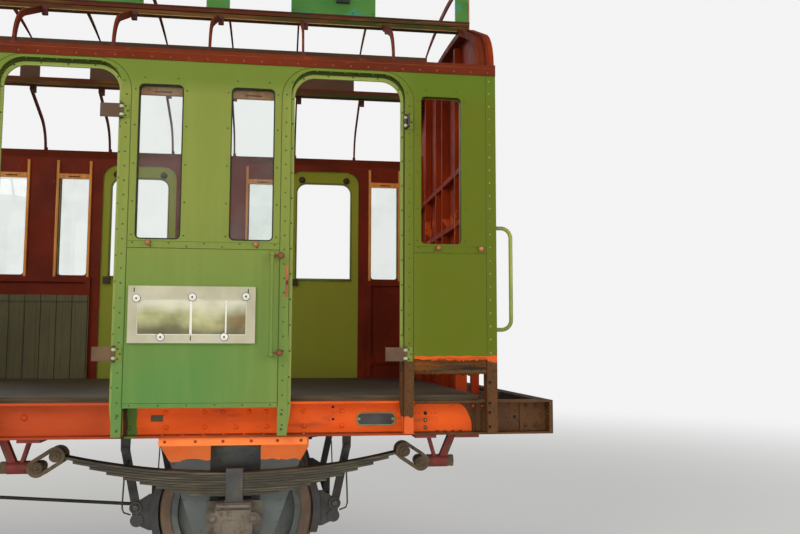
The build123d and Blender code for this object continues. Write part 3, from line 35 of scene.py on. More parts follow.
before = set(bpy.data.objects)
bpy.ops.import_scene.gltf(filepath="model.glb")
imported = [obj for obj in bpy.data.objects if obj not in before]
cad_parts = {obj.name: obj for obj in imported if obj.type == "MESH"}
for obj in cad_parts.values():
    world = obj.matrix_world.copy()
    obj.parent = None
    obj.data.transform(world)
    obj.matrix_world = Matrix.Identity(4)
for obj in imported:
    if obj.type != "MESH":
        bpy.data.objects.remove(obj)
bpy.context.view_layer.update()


def corners(box):
    """Low and high corner of a box as vectors."""
    return [Vector(corner) for corner in box]


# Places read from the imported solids
FRAMES_LOW, FRAMES_HIGH = corners(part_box("near_door_frames"))
PANEL_LOW, PANEL_HIGH = corners(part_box("near_wall_panels"))
CANT_HIGH = corners(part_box("cant_rails"))[1]
NOTICE_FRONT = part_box("notice_frame")[0][1]
PANE_LOW, PANE_HIGH = corners(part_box("notice_pane"))
PLATE_LOW, PLATE_HIGH = corners(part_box("name_plate"))
BEAM_LOW, BEAM_HIGH = corners(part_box("clerestory_beams"))
LINK_LOW, LINK_HIGH = corners(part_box("spring_links"))
SILL_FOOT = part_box("solebars")[0][2]
WINDOW_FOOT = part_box("near_windows")[0][2]
WINDOW_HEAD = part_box("near_windows")[1][2]
BATTEN_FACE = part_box("window_battens")[1][1]
CLERESTORY_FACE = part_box("clerestory_rails")[1][1]
FLOOR_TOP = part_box("floor")[1][2]
BODY_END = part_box("cant_rails")[1][0]
FRAME_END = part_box("headstocks")[1][0]
AXLE_X = sum(corner[0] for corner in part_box("axle_front")) / 2
AXLE_Z = sum(corner[2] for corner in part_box("axle_front")) / 2
BOX_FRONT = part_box("axle_boxes")[1][1]

# Faces across the coach
OUTER = -PANEL_LOW.y
LINING = 1.36
LIP_FACE = 1.373
DOOR_IN = 1.378
DOOR_OUT = 1.42
WEB_Y = 1.27
PATCH_FACE = -1.28
CLERESTORY_INSIDE = CLERESTORY_FACE - 0.0295

# A point within this distance of a face is painted like the face
SKIN = 0.0015

# Doorways and windows, from a door's centre
DOOR_COUNT = 5
FRAME_HALF = 0.395
FRAME_CORNER = 0.19
REBATE_HALF = 0.34
WINDOW_MIDDLE = 0.562
WINDOW_HALF = 0.123
WINDOW_CORNER = 0.026
FIRST_DOOR = FRAMES_LOW.x + FRAME_HALF
LAST_DOOR = FRAMES_HIGH.x - FRAME_HALF
DOOR_PITCH = (LAST_DOOR - FIRST_DOOR) / (DOOR_COUNT - 1)
DOORS = [FIRST_DOOR + n * DOOR_PITCH for n in range(DOOR_COUNT)]
HINGE_HEIGHTS = (FLOOR_TOP + 0.246, FLOOR_TOP + 1.638)

# Sides and ends of the coach
NEAR = -1
FAR = 1
ENDS = (-1, 1)
NAMED_ENDS = (("front", 1), ("rear", -1))
SIDES = (("near", NEAR, -OUTER), ("far", FAR, OUTER))
QUARTERS = [(side, end) for side in (NEAR, FAR) for end in ENDS]

# Places that the paints change at, as pairs where one fades into the next
LOW_GREEN = (1.15, 2.5)
DARK_HEADER = (2.98, 3.1)
DUSTY_FOOT = (1.3, 1.02)
OLIVE_END = (2.1, 3.8)
BROWN_END = (3.42, 3.78)
PANEL_PRIMER = (1.484, 1.481)
BARE_FOOT = (1.452, 1.446)
PRIMED_LEG = (1.128, 1.122)
END_PRIMER = (1.5, 1.49)
END_BARE = (1.476, 1.47)
LINING_PRIMER = (2.75, 2.6)
DULL_PRIMER = (2.02, 1.9)
BEAM_OLIVE = (2.5, 3.0)
ROT_START = (3.76, 3.84)
OVERSPRAY = 2.07
PRIMER_END = 3.712
PLATE_CORNER_X = 4.027
PLATE_CORNER_Z = 1.146
PLATE_PRIMER_END = 4.085
SLEEVE_NEAR = 1.1678
SLEEVE_FAR = 1.2942
SLEEVE_TOP = 0.93
GUARD_SPLIT = 0.845
CUT_PANEL = -0.56
ROT_HEIGHT = 1.412
BEAM_SPLIT = (BEAM_LOW.z + BEAM_HIGH.z) / 2

# Rivet heads by radius and height
SIDE_RIVET = (0.0055, 0.003)
EDGE_RIVET = (0.006, 0.004)
FRAME_RIVET = (0.009, 0.007)
HEADSTOCK_RIVET = (0.011, 0.008)


# Mesh helpers


def piece(name, bm, material, body="root", smooth=True, rounding=0.0):
    """Turn built mesh data into an object that rides on a body, with its edges rounded if wanted."""
    bmesh.ops.recalc_face_normals(bm, faces=bm.faces)
    mesh = bpy.data.meshes.new(name)
    bm.to_mesh(mesh)
    bm.free()
    for face in mesh.polygons:
        face.use_smooth = smooth
    obj = bpy.data.objects.new(name, mesh)
    bpy.context.scene.collection.objects.link(obj)
    mesh.materials.append(material)
    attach(obj, body)
    if rounding:
        bevel = obj.modifiers.new("bevel", "BEVEL")
        bevel.width = rounding
        bevel.segments = 2
        bevel.limit_method = "ANGLE"
    return obj


def sharp_edges(obj):
    """Keep flat faces flat and curved ones smooth."""
    obj.data.set_sharp_from_angle(angle=math.radians(30))
    return obj


def slab(bm, x0, x1, y0, y1, z0, z1):
    """Closed block between two corners."""
    points = [bm.verts.new((x, y, z)) for x in (x0, x1) for y in (y0, y1) for z in (z0, z1)]
    for ring in ((0, 1, 3, 2), (4, 6, 7, 5), (0, 4, 5, 1), (2, 3, 7, 6), (0, 2, 6, 4), (1, 5, 7, 3)):
        bm.faces.new([points[n] for n in ring])


def join_rings(bm, rings, closed=False):
    """Faces between rings of points, with caps unless the last ring meets the first."""
    count = len(rings[0])
    pairs = list(zip(rings, rings[1:]))
    if closed:
        pairs.append((rings[-1], rings[0]))
    for low, high in pairs:
        for n in range(count):
            after = (n + 1) % count
            bm.faces.new((low[n], low[after], high[after], high[n]))
    if not closed:
        bm.faces.new(rings[0][::-1])
        bm.faces.new(rings[-1])


def turned(bm, place, axis, profile, sides=12):
    """Closed round form: rings of (radius, rise) stacked along an axis."""
    axis = Vector(axis).normalized()
    across = axis.orthogonal().normalized()
    other = axis.cross(across)
    rings = []
    for radius, rise in profile:
        ring = []
        for n in range(sides):
            turn = 2 * math.pi * n / sides
            spoke = across * math.cos(turn) + other * math.sin(turn)
            ring.append(bm.verts.new(Vector(place) + spoke * radius + axis * rise))
        rings.append(ring)
    join_rings(bm, rings)


def dome(bm, place, axis, radius, height):
    """Low round rivet head."""
    shoulder = (0.8 * radius, 0.7 * height)
    turned(bm, place, axis, ((radius, -0.002), (radius, 0.2 * height), shoulder, (0.35 * radius, height)), 8)


def domes(bm, places, axis, size):
    """Rivet heads of one size at several places."""
    for place in places:
        dome(bm, place, axis, *size)


def hexagon(bm, place, axis, radius, height):
    """Bolt head with its washer."""
    turned(bm, place, axis, ((1.25 * radius, -0.002), (1.25 * radius, 0.25 * height)), 14)
    turned(bm, place, axis, ((radius, 0), (radius, 0.85 * height), (0.8 * radius, height)), 6)


def ball(bm, place, radius):
    """Round knob."""
    rings = 7
    profile = []
    for n in range(rings + 1):
        turn = math.pi * (n + 0.5) / (rings + 1)
        profile.append((radius * math.sin(turn), -radius * math.cos(turn)))
    turned(bm, place, (0, 0, 1), profile, 14)


def tube(bm, points, radius, flat, closed=False, sides=8):
    """Round bar along a path that lies in a plane with the normal given."""
    points = [Vector(point) for point in points]
    flat = Vector(flat)
    count = len(points)
    rings = []
    for n, point in enumerate(points):
        before = points[n - 1] if n or closed else point
        after = points[(n + 1) % count] if n < count - 1 or closed else point
        side = (after - before).normalized().cross(flat).normalized()
        ring = []
        for k in range(sides):
            turn = 2 * math.pi * k / sides
            ring.append(bm.verts.new(point + side * radius * math.cos(turn) + flat * radius * math.sin(turn)))
        rings.append(ring)
    join_rings(bm, rings, closed)


def trace(bm, path, y, radius, closed=False, sides=8):
    """Round bar along a path of (x, z) points in the upright plane at y."""
    tube(bm, [(x, y, z) for x, z in path], radius, (0, 1, 0), closed, sides)


def band(bm, outer, inner, y0, y1, closed=False):
    """Plate of even thickness between two outlines that have as many points each."""
    loops = []
    for path in (outer, inner):
        for y in (y0, y1):
            loops.append([bm.verts.new((x, y, z)) for x, z in path])
    out0, out1, in0, in1 = loops
    last = len(outer) - 1
    pairs = [(n, n + 1) for n in range(last)]
    if closed:
        pairs.append((last, 0))
    for a, b in pairs:
        bm.faces.new((out0[a], out0[b], in0[b], in0[a]))
        bm.faces.new((out1[a], in1[a], in1[b], out1[b]))
        bm.faces.new((out0[a], out1[a], out1[b], out0[b]))
        bm.faces.new((in0[a], in0[b], in1[b], in1[a]))
    if not closed:
        for n in (0, last):
            bm.faces.new((out0[n], in0[n], in1[n], out1[n]))


def circle(x, z, radius, count):
    """Points round a circle."""
    turns = [2 * math.pi * n / count for n in range(count)]
    return [(x + radius * math.cos(turn), z + radius * math.sin(turn)) for turn in turns]


def arch_path(door, half, low, top, radius, count=10):
    """Points up one side of a doorway, round its head and down the other side."""
    points = [(door - half, low)]
    for centre, start in ((door - half + radius, math.pi), (door + half - radius, math.pi / 2)):
        for n in range(count + 1):
            turn = start - math.pi / 2 * n / count
            points.append((centre + radius * math.cos(turn), top - radius + radius * math.sin(turn)))
    points.append((door + half, low))
    return points


def rounded_path(x0, x1, z0, z1, radius):
    """Points round a rectangle with round corners."""
    left, right = x0 + radius, x1 - radius
    foot, head = z0 + radius, z1 - radius
    points = []
    for x, z, start in ((right, head, 0), (left, head, 90), (left, foot, 180), (right, foot, 270)):
        for n in range(6):
            turn = math.radians(start + 18 * n)
            points.append((x + radius * math.cos(turn), z + radius * math.sin(turn)))
    return points


def spaced(points, pitch):
    """Even steps along a path of (x, z) points."""
    places = []
    left = 0.0
    for (x0, z0), (x1, z1) in zip(points, points[1:]):
        length = math.hypot(x1 - x0, z1 - z0)
        while left <= length and length > 0:
            share = left / length
            places.append((x0 + (x1 - x0) * share, z0 + (z1 - z0) * share))
            left += pitch
        left -= length
    return places


def evenly(low, high, pitch):
    """Even places between two limits, both ends included."""
    count = max(1, round((high - low) / pitch))
    return [low + (high - low) * n / count for n in range(count + 1)]


# Material helpers


def rgb(red, green, blue):
    """Linear colour from 0 to 255 screen values."""
    shares = [value / 255 for value in (red, green, blue)]
    return tuple(s / 12.92 if s < 0.04045 else ((s + 0.055) / 1.055) ** 2.4 for s in shares) + (1.0,)


def darker(colour, share):
    """Linear colour with a share of the light of a colour in screen values."""
    return tuple(share * value for value in rgb(*colour)[:3]) + (1.0,)


class Finish:
    """One procedural material, built node by node in object coordinates."""

    def __init__(self, name, metallic=0.0):
        self.material = bpy.data.materials.new(name)
        self.material.use_nodes = True
        self.tree = self.material.node_tree
        self.shader = self.tree.nodes["Principled BSDF"]
        self.set("Metallic", metallic)
        self.place = self.node("ShaderNodeTexCoord").outputs["Object"]
        self.x, self.y, self.z = self.node("ShaderNodeSeparateXYZ", {"Vector": self.place}).outputs

    def node(self, kind, values=None, **settings):
        """New node with its settings and inputs."""
        made = self.tree.nodes.new(kind)
        for key, value in settings.items():
            setattr(made, key, value)
        for key, value in (values or {}).items():
            self.put(made.inputs[key], value)
        return made

    def put(self, socket, value):
        """Link an input or set it; three screen values become a colour."""
        if isinstance(value, bpy.types.NodeSocket):
            self.tree.links.new(value, socket)
        elif socket.type == "RGBA" and len(value) == 3:
            socket.default_value = rgb(*value)
        else:
            socket.default_value = value

    def set(self, name, value):
        """Link or set an input of the shader."""
        self.put(self.shader.inputs[name], value)

    def math(self, operation, first, second=0.0):
        made = self.node("ShaderNodeMath", operation=operation)
        self.put(made.inputs[0], first)
        self.put(made.inputs[1], second)
        return made.outputs[0]

    def add(self, first, second):
        return self.math("ADD", first, second)

    def both(self, first, second):
        return self.math("MULTIPLY", first, second)

    def above(self, value, limit):
        return self.math("GREATER_THAN", value, limit)

    def below(self, value, limit):
        return self.math("LESS_THAN", value, limit)

    def between(self, value, low, high):
        return self.both(self.above(value, low), self.below(value, high))

    def without(self, mask):
        return self.math("SUBTRACT", 1.0, mask)

    def past(self, value, limit):
        """How far a value is past a limit, and nothing before it."""
        return self.math("MAXIMUM", self.math("SUBTRACT", value, limit), 0.0)

    def size(self, value):
        """Value without its sign."""
        return self.math("ABSOLUTE", value)

    def off(self, value, centre):
        """Distance of a value from a centre."""
        return self.size(self.math("SUBTRACT", value, centre))

    def noise(self, scale, stretch=(1, 1, 1), detail=4.0, rough=0.55):
        where = self.node("ShaderNodeMapping", {"Vector": self.place, "Scale": stretch})
        values = {"Vector": where.outputs[0], "Scale": scale, "Detail": detail, "Roughness": rough}
        return self.node("ShaderNodeTexNoise", values).outputs["Fac"]

    def range(self, value, low, high, bottom=0.0, top=1.0):
        """Soft step between two limits."""
        values = {"Value": value, "From Min": low, "From Max": high, "To Min": bottom, "To Max": top}
        return self.node("ShaderNodeMapRange", values, interpolation_type="SMOOTHSTEP").outputs[0]

    def blot(self, scale, low, high, top=1.0, stretch=(1, 1, 1), detail=4.0):
        """Patchy mask: nothing where the noise is below low, top where it is above high."""
        return self.range(self.noise(scale, stretch, detail), low, high, 0.0, top)

    def uneven(self, scale, low, high):
        """Level that wanders between two values."""
        return self.range(self.noise(scale), 0.3, 0.7, low, high)

    def ragged(self, value, scale, reach, detail=3):
        """Coordinate pushed to and fro by noise, for torn edges."""
        return self.add(value, self.range(self.noise(scale, detail=detail), 0.2, 0.8, -reach, reach))

    def mix(self, share, first, second):
        """Second tone laid over the first by a share."""
        made = self.node("ShaderNodeMix", data_type="RGBA")
        for number, value in ((0, share), (6, first), (7, second)):
            self.put(made.inputs[number], value)
        return made.outputs[2]

    def grained(self, scale, stretch, light, dark):
        """Wood grain and the tone that follows it."""
        grain = self.noise(scale, stretch, 6, 0.6)
        return grain, self.mix(self.range(grain, 0.35, 0.68), light, dark)

    def done(self, colour, rough, relief, strength, depth, shine=0.5):
        """Join the looks to the shader and give back the material."""
        bump = self.node("ShaderNodeBump", {"Height": relief, "Strength": strength, "Distance": depth})
        self.set("Base Color", colour)
        self.set("Roughness", rough)
        self.set("Specular IOR Level", shine)
        self.set("Normal", bump.outputs[0])
        return self.material


# Paints of the body

OLIVE = (130, 140, 62)
SEA_GREEN = (88, 136, 70)
STREAK = (150, 165, 90)
DOWN = (1, 1, 0.06)


def rust_mix(f):
    """Rust colour in three browns."""
    base = f.mix(f.noise(9), (72, 48, 28), (112, 72, 38))
    return f.mix(f.blot(60, 0.5, 0.75, detail=3), base, (56, 42, 34))


def inner_red(f):
    """Dull red lining paint with scuffs, in a lighter copy on the far side as painted light and a darker copy
    on the near side as painted shade.
    """
    patch = f.blot(2.2, 0.35, 0.7, detail=3)
    dark = f.mix(patch, (116, 38, 14), (92, 30, 10))
    lit_red_copy = f.mix(patch, (132, 44, 20), (104, 34, 14))
    # Painted light and shade: the far side's lining takes the lighter copy, the near side's the darker one
    red = f.mix(f.above(f.y, 0), dark, lit_red_copy)
    return f.mix(f.blot(24, 0.66, 0.74, 0.5, detail=3), red, (128, 84, 58))


def brushed_green(f):
    """Sea green below, olive above and towards the visible end, with streaks, spots and dust."""
    height = f.math("MAXIMUM", f.range(f.z, *LOW_GREEN), f.range(f.x, *OLIVE_END))
    paint = f.mix(height, SEA_GREEN, OLIVE)
    paint = f.mix(f.blot(1.3, 0.35, 0.7, 0.3, detail=2), paint, darker(OLIVE, 0.82))
    paint = f.mix(f.blot(14, 0.4, 0.75, 0.16, DOWN, 3), paint, STREAK)
    paint = f.mix(f.blot(38, 0.7, 0.76, 0.35, detail=2), paint, (62, 62, 30))
    dust = f.both(f.range(f.z, *DUSTY_FOOT, 0, 0.22), f.noise(6))
    paint = f.mix(dust, paint, (150, 135, 100))
    end = f.both(f.below(f.y, 0), f.range(f.x, *BROWN_END, 0, 0.95))
    paint = f.mix(end, paint, (92, 102, 14))
    return f.mix(f.range(f.z, *DARK_HEADER, 0, 0.55), paint, (86, 112, 26))


def doorway_tones(f, paint):
    """Painted shade in the near rebates, a painted highlight on the near lips, yellower inner faces on the
    far doors.
    """
    near = f.below(f.y, 0)
    depth = f.size(f.y)
    # Painted shade: the near rebates' walls are darkened as if lying in shadow
    rebate = f.between(depth, LIP_FACE + 0.001, OUTER - SKIN)
    paint = f.mix(f.both(near, f.both(rebate, 0.7)), paint, (48, 60, 12))
    # Painted highlight: the near lips' faces are paled as if catching the light
    painted_highlight_lip = f.between(depth, LINING + SKIN, LIP_FACE + 0.001)
    paint = f.mix(f.both(near, f.both(painted_highlight_lip, 0.55)), paint, (176, 188, 100))
    door_face = f.below(f.off(f.y, DOOR_IN), SKIN)
    return f.mix(f.both(door_face, 0.7), paint, (168, 168, 46))


def stripped_corner(f, paint):
    """Bare rusty feet beside the near corner, orange primer above the panel's and below the leg's."""
    near_end = f.both(f.above(f.x, LAST_DOOR + REBATE_HALF - 0.025), f.below(f.y, 0))
    panel = f.above(f.x, LAST_DOOR + FRAME_HALF + 0.001)
    edge = f.ragged(f.z, 16, 0.016)
    primer = f.both(panel, f.range(f.ragged(f.z, 11, 0.005, 2), *PANEL_PRIMER))
    leg = f.both(f.range(edge, *PRIMED_LEG), f.without(panel))
    paint = f.mix(f.both(near_end, primer), paint, (214, 92, 30))
    paint = f.mix(f.both(near_end, f.range(edge, *BARE_FOOT)), paint, rust_mix(f))
    return f.mix(f.both(near_end, leg), paint, (222, 96, 44))


def green_paint(name):
    """Old brushed green paint of the sides, with the lining's red inside."""
    f = Finish(name)
    paint = stripped_corner(f, doorway_tones(f, brushed_green(f)))
    paint = f.mix(f.below(f.size(f.y), LINING + SKIN), paint, inner_red(f))
    relief = f.add(f.noise(90, (1, 1, 0.12), 3), f.noise(4))
    return f.done(paint, f.uneven(7, 0.46, 0.62), relief, 0.16, 0.004, 0.16)


def oxide_paint(name):
    """Oxide red paint, dull, with lighter wear."""
    f = Finish(name)
    red = f.mix(f.blot(3, 0.35, 0.7, stretch=(0.4, 1, 1)), (114, 44, 18), (92, 36, 16))
    red = f.mix(f.blot(30, 0.62, 0.72, 0.35, (0.3, 1, 1), 3), red, (150, 78, 52))
    return f.done(red, f.uneven(11, 0.62, 0.8), f.noise(70, detail=3), 0.2, 0.003, 0.12)


def patched_green(name):
    """Clerestory paint: bright green outside with brown and turquoise patches, brown inside."""
    f = Finish(name)
    green = f.mix(f.blot(2.5, 0.35, 0.7, detail=3), (74, 124, 52), (54, 104, 44))
    green = f.mix(f.blot(5, 0.62, 0.64, 1.0, (1, 1, 2), 2), green, (56, 128, 92))
    green = f.mix(f.blot(6, 0.66, 0.68, 1.0, (1, 1, 1.6), 3), green, (104, 74, 44))
    brown = f.mix(f.noise(4), (92, 60, 34), (66, 44, 28))
    paint = f.mix(f.below(f.size(f.y), CLERESTORY_INSIDE), green, brown)
    return f.done(paint, 0.6, f.noise(50, detail=3), 0.2, 0.003, 0.3)


def end_paint(name):
    """End wall: green outside, cut away at the near foot, red inside with orange primer patches."""
    f = Finish(name)
    green = f.mix(f.range(f.z, *LOW_GREEN), SEA_GREEN, OLIVE)
    green = f.mix(f.blot(14, 0.4, 0.75, 0.16, DOWN, 3), green, STREAK)
    edge = f.ragged(f.z, 16, 0.012)
    cut = f.both(f.below(f.y, CUT_PANEL), f.above(f.x, 0))
    green = f.mix(f.both(cut, f.range(edge, *END_PRIMER)), green, (206, 92, 40))
    green = f.mix(f.both(cut, f.range(edge, *END_BARE)), green, rust_mix(f))
    lining = f.mix(0.65, inner_red(f), f.mix(f.blot(1.8, 0.35, 0.7), (176, 60, 16), (134, 36, 10)))
    primer = f.both(f.blot(5, 0.6, 0.64, detail=5), f.range(f.z, *LINING_PRIMER))
    red = f.mix(primer, lining, (206, 88, 34))
    paint = f.mix(f.above(f.size(f.x), BODY_END - 0.002), red, green)
    return f.done(paint, f.uneven(8, 0.6, 0.78), f.noise(60, detail=3), 0.2, 0.003, 0.12)


def left_hinge_paint(name):
    """Hinges left on the near side: brown leaves, jamb plates painted over in green."""
    f = Finish(name)
    brown = f.mix(f.blot(6, 0.3, 0.7), (112, 84, 56), (84, 62, 42))
    along = f.add(f.x, DOOR_PITCH / 2 - FIRST_DOOR)
    beside = f.math("SUBTRACT", f.math("FLOORED_MODULO", along, DOOR_PITCH), DOOR_PITCH / 2)
    paint = f.mix(f.above(beside, REBATE_HALF + 0.0135), brown, (116, 132, 46))
    return f.done(paint, 0.58, f.noise(50, detail=3), 0.25, 0.002)


def plain_paint(name, first, second, rough=0.5):
    """Simple brushed paint in two close tones."""
    f = Finish(name)
    tone = f.mix(f.blot(5, 0.35, 0.7), first, second)
    return f.done(tone, f.uneven(12, rough - 0.06, rough + 0.08), f.noise(60, detail=3), 0.15, 0.002)


# Paints and steels of the underframe and running gear


def primed_plate(f):
    """Mask of the last patch plate's primer, which ends in a slant with a round upper corner."""
    face = f.between(f.y, PATCH_FACE - 0.0005, PATCH_FACE + 0.0005)
    face = f.both(face, f.below(f.x, PLATE_PRIMER_END))
    upper = f.past(f.z, PLATE_CORNER_Z)
    beside = f.past(f.add(f.x, f.range(f.z, 1.06, 1.2, 0.0, 0.042)), PLATE_CORNER_X)
    reach = f.math("SQRT", f.add(f.both(upper, upper), f.both(beside, beside)))
    return f.both(face, f.range(reach, 0.049, 0.046))


def orange_primer(name):
    """Fresh orange primer on the solebars, green overspray with a painted shadow of the leg beside it, rust
    beyond the last patch plate.
    """
    f = Finish(name)
    near = f.below(f.y, 0)
    paint = f.mix(f.blot(4, 0.35, 0.7, stretch=(0.5, 1, 1.5)), (238, 94, 26), (216, 80, 22))
    paint = f.mix(f.blot(26, 0.6, 0.72, 0.4, (0.5, 1, 1)), paint, (160, 62, 34))
    paint = f.mix(f.blot(9, 0.56, 0.75, 0.5, (0.4, 1, 2), 5), paint, (122, 66, 36))
    flange = f.both(f.below(f.z, SILL_FOOT + 0.014), f.range(f.noise(6, (0.3, 1, 1)), 0.3, 0.5, 0.5, 0.9))
    paint = f.mix(flange, paint, (112, 54, 30))
    paint = f.mix(f.both(f.range(f.x, *DULL_PRIMER, 0, 0.75), near), paint, (176, 72, 36))
    cloud = f.ragged(f.x, 9, 0.012)
    spray = f.both(f.range(f.off(cloud, OVERSPRAY), 0.042, 0.034), near)
    paint = f.mix(spray, paint, (86, 112, 46))
    # Painted shadow: a dark brown band beside the overspray, where the leg throws its shade on the web
    painted_leg_shadow = f.both(f.range(f.off(cloud, OVERSPRAY - 0.03), 0.018, 0.01), near)
    paint = f.mix(painted_leg_shadow, paint, (70, 50, 26))
    beyond = f.both(f.above(f.ragged(f.x, 14, 0.02), PRIMER_END), near)
    paint = f.mix(f.both(beyond, f.without(primed_plate(f))), paint, rust_mix(f))
    return f.done(paint, f.uneven(12, 0.36, 0.6), f.noise(60), 0.22, 0.004, 0.2)


def guard_paint(name):
    """Axle guards: orange above, worn blue-grey below the spring."""
    f = Finish(name)
    orange = f.mix(f.blot(7, 0.4, 0.7), (255, 136, 66), (255, 122, 58))
    grey = f.mix(f.noise(8), (86, 94, 94), (112, 116, 110))
    grey = f.mix(f.blot(22, 0.6, 0.72, 0.6), grey, (84, 62, 44))
    paint = f.mix(f.range(f.ragged(f.z, 10, 0.012), GUARD_SPLIT, GUARD_SPLIT + 0.005), grey, orange)
    return f.done(paint, 0.55, f.noise(50), 0.3, 0.004, 0.25)


def bracket_paint(name):
    """Spring brackets: red feet, arms and sleeve, brown eye and nut at the sleeve's ends."""
    f = Finish(name)
    red = f.mix(f.blot(7, 0.3, 0.7), (136, 52, 44), (108, 44, 36))
    red = f.mix(f.blot(26, 0.55, 0.7, 0.7, detail=5), red, (84, 54, 40))
    from_axle = f.off(f.size(f.x), AXLE_X)
    ends = f.math("MAXIMUM", f.below(from_axle, SLEEVE_NEAR), f.above(from_axle, SLEEVE_FAR))
    brown = f.mix(f.blot(9, 0.3, 0.7), (104, 86, 60), (78, 64, 48))
    paint = f.mix(f.both(ends, f.below(f.z, SLEEVE_TOP)), red, brown)
    return f.done(paint, f.uneven(15, 0.42, 0.62), f.noise(45, detail=5), 0.35, 0.003)


def spring_steel(name):
    """Spring leaves: brown-grey steel, scraped and greasy in streaks along the leaves."""
    f = Finish(name, metallic=0.2)
    streak = f.noise(30, (0.12, 1, 2.5), 5)
    tone = f.mix(f.blot(5, 0.3, 0.7), (86, 80, 64), (72, 68, 58))
    tone = f.mix(f.range(streak, 0.5, 0.66, 0, 0.55), tone, (124, 110, 82))
    tone = f.mix(f.range(streak, 0.46, 0.34, 0, 0.6), tone, (56, 52, 44))
    return f.done(tone, f.range(streak, 0.3, 0.7, 0.62, 0.48), f.noise(40, (0.4, 1, 1), 5), 0.4, 0.003)


def old_steel(name, first, second, spots, rough, metallic, grain=45, depth=0.004):
    """Bare or greasy steel in two tones with rusty spots."""
    f = Finish(name, metallic)
    tone = f.mix(f.blot(6, 0.3, 0.7), first, second)
    tone = f.mix(f.blot(28, 0.52, 0.7, 0.8, detail=5), tone, spots)
    return f.done(tone, f.uneven(15, rough - 0.12, rough + 0.12), f.noise(grain, detail=5), 0.45, depth)


# Timber and glass


def wood(name, light, dark, along=0, planks=None, rough=0.7):
    """Timber with grain along an axis, and plank joints where a width is given."""
    f = Finish(name)
    stretch = [7.0, 7.0, 7.0]
    stretch[along] = 0.35
    grain, tone = f.grained(9, stretch, light, dark)
    tone = f.mix(f.blot(1.6, 0.4, 0.7, 0.4), tone, darker(dark, 0.7))
    relief = grain
    if planks:
        across = f.x if along == 2 else f.y
        share = f.math("FRACT", f.math("DIVIDE", f.add(across, 10.0), planks))
        joint = f.below(f.off(share, 0.5), 0.025)
        tone = f.mix(joint, tone, (18, 14, 10))
        relief = f.math("SUBTRACT", grain, joint)
    return f.done(tone, rough, relief, 0.35, 0.003)


def old_beam(name):
    """Beam under the clerestory: grained brown wood, with olive paint left near one end."""
    f = Finish(name)
    grain, tone = f.grained(9, (0.35, 7, 7), (104, 68, 30), (64, 42, 20))
    olive = f.both(f.blot(7, 0.44, 0.5, stretch=(0.3, 1, 1.5)), f.range(f.x, *BEAM_OLIVE))
    tone = f.mix(olive, tone, (54, 56, 20))
    red = f.both(f.above(f.z, BEAM_SPLIT), f.blot(5, 0.4, 0.5, stretch=(0.3, 1, 1)))
    return f.done(f.mix(red, tone, (84, 38, 18)), 0.75, grain, 0.35, 0.003, 0.2)


def rotten_wood(name):
    """Rail of the cut-away bay: red-brown wood, dark grey and split along its middle."""
    f = Finish(name)
    grain, tone = f.grained(11, (0.3, 6, 6), (118, 70, 30), (70, 44, 24))
    heart = f.both(f.range(f.off(f.z, ROT_HEIGHT), 0.03, 0.012), f.blot(4, 0.4, 0.52, stretch=(0.6, 1, 3)))
    heart = f.both(heart, f.range(f.x, *ROT_START))
    tone = f.mix(heart, tone, f.mix(f.range(grain, 0.4, 0.6), (74, 68, 52), (40, 36, 28)))
    return f.done(tone, 0.85, grain, 0.5, 0.005, 0.15)


def window_glass(name):
    """Old window glass: see-through with a thin film of dust."""
    f = Finish(name)
    film = f.range(f.noise(3, detail=5), 0.4, 0.75, 0.004, 0.06)
    f.set("Base Color", f.mix(film, (246, 251, 248), (196, 200, 180)))
    f.set("Transmission Weight", f.without(film))
    f.set("IOR", 1.45)
    f.set("Roughness", f.range(film, 0.02, 0.3, 0.02, 0.25))
    return f.material


def mirror_pane(name):
    """Glossy pane of the notice whose colour holds painted reflections: soft cloudy tones, a darker foot and
    a brighter top, and no picture.
    """
    f = Finish(name)
    # Painted reflection: the cloudy tones, the brown patches towards one side, the dark foot and the bright
    # top
    tone = f.mix(f.blot(3.4, 0.3, 0.7, 1.0, (1, 1, 1.6), 3), (196, 194, 140), (108, 114, 62))
    beside = f.range(f.x, PANE_LOW.x + 0.3, PANE_HIGH.x, 0, 0.8)
    tone = f.mix(f.both(beside, f.blot(5, 0.35, 0.6, 1.0, (1, 1, 2), 3)), tone, (132, 92, 54))
    rise = f.ragged(f.z, 6, 0.03, 2)
    tone = f.mix(f.range(rise, PANE_LOW.z + 0.09, PANE_LOW.z, 0, 0.75), tone, (70, 66, 40))
    tone = f.mix(f.range(rise, PANE_HIGH.z - 0.11, PANE_HIGH.z, 0, 0.75), tone, (232, 228, 206))
    f.set("Base Color", tone)
    f.set("Roughness", 0.08)
    f.set("Coat Weight", 1.0)
    f.set("Coat Roughness", 0.03)
    return f.material


GREEN = green_paint("green_paint")
CLERESTORY = patched_green("clerestory_green")
OXIDE = oxide_paint("oxide_red_paint")
END_PAINT = end_paint("end_wall_paint")
ORANGE = orange_primer("orange_primer")
GUARD = guard_paint("guard_paint")
RUST = old_steel("rusty_steel", (70, 50, 32), (92, 62, 36), (50, 36, 26), 0.72, 0.1)
SPRING = spring_steel("spring_steel")
BUCKLE = old_steel("buckle_steel", (92, 92, 88), (72, 74, 74), (100, 90, 74), 0.55, 0.2)
LINK = old_steel("link_steel", (108, 92, 66), (84, 70, 52), (64, 48, 36), 0.58, 0.15)
BOX = old_steel("box_cast_iron", (128, 118, 102), (102, 94, 82), (92, 70, 50), 0.68, 0.15, 34, 0.006)
TYRE = old_steel("tyre_steel", (130, 110, 90), (108, 90, 74), (134, 92, 62), 0.55, 0.3)
WHEEL = old_steel("wheel_disc_paint", (116, 118, 110), (94, 102, 102), (104, 86, 64), 0.58, 0.1)
BRAKE = old_steel("brake_iron", (78, 78, 78), (60, 58, 56), (82, 62, 48), 0.6, 0.15)
BRACKET = bracket_paint("bracket_red_paint")
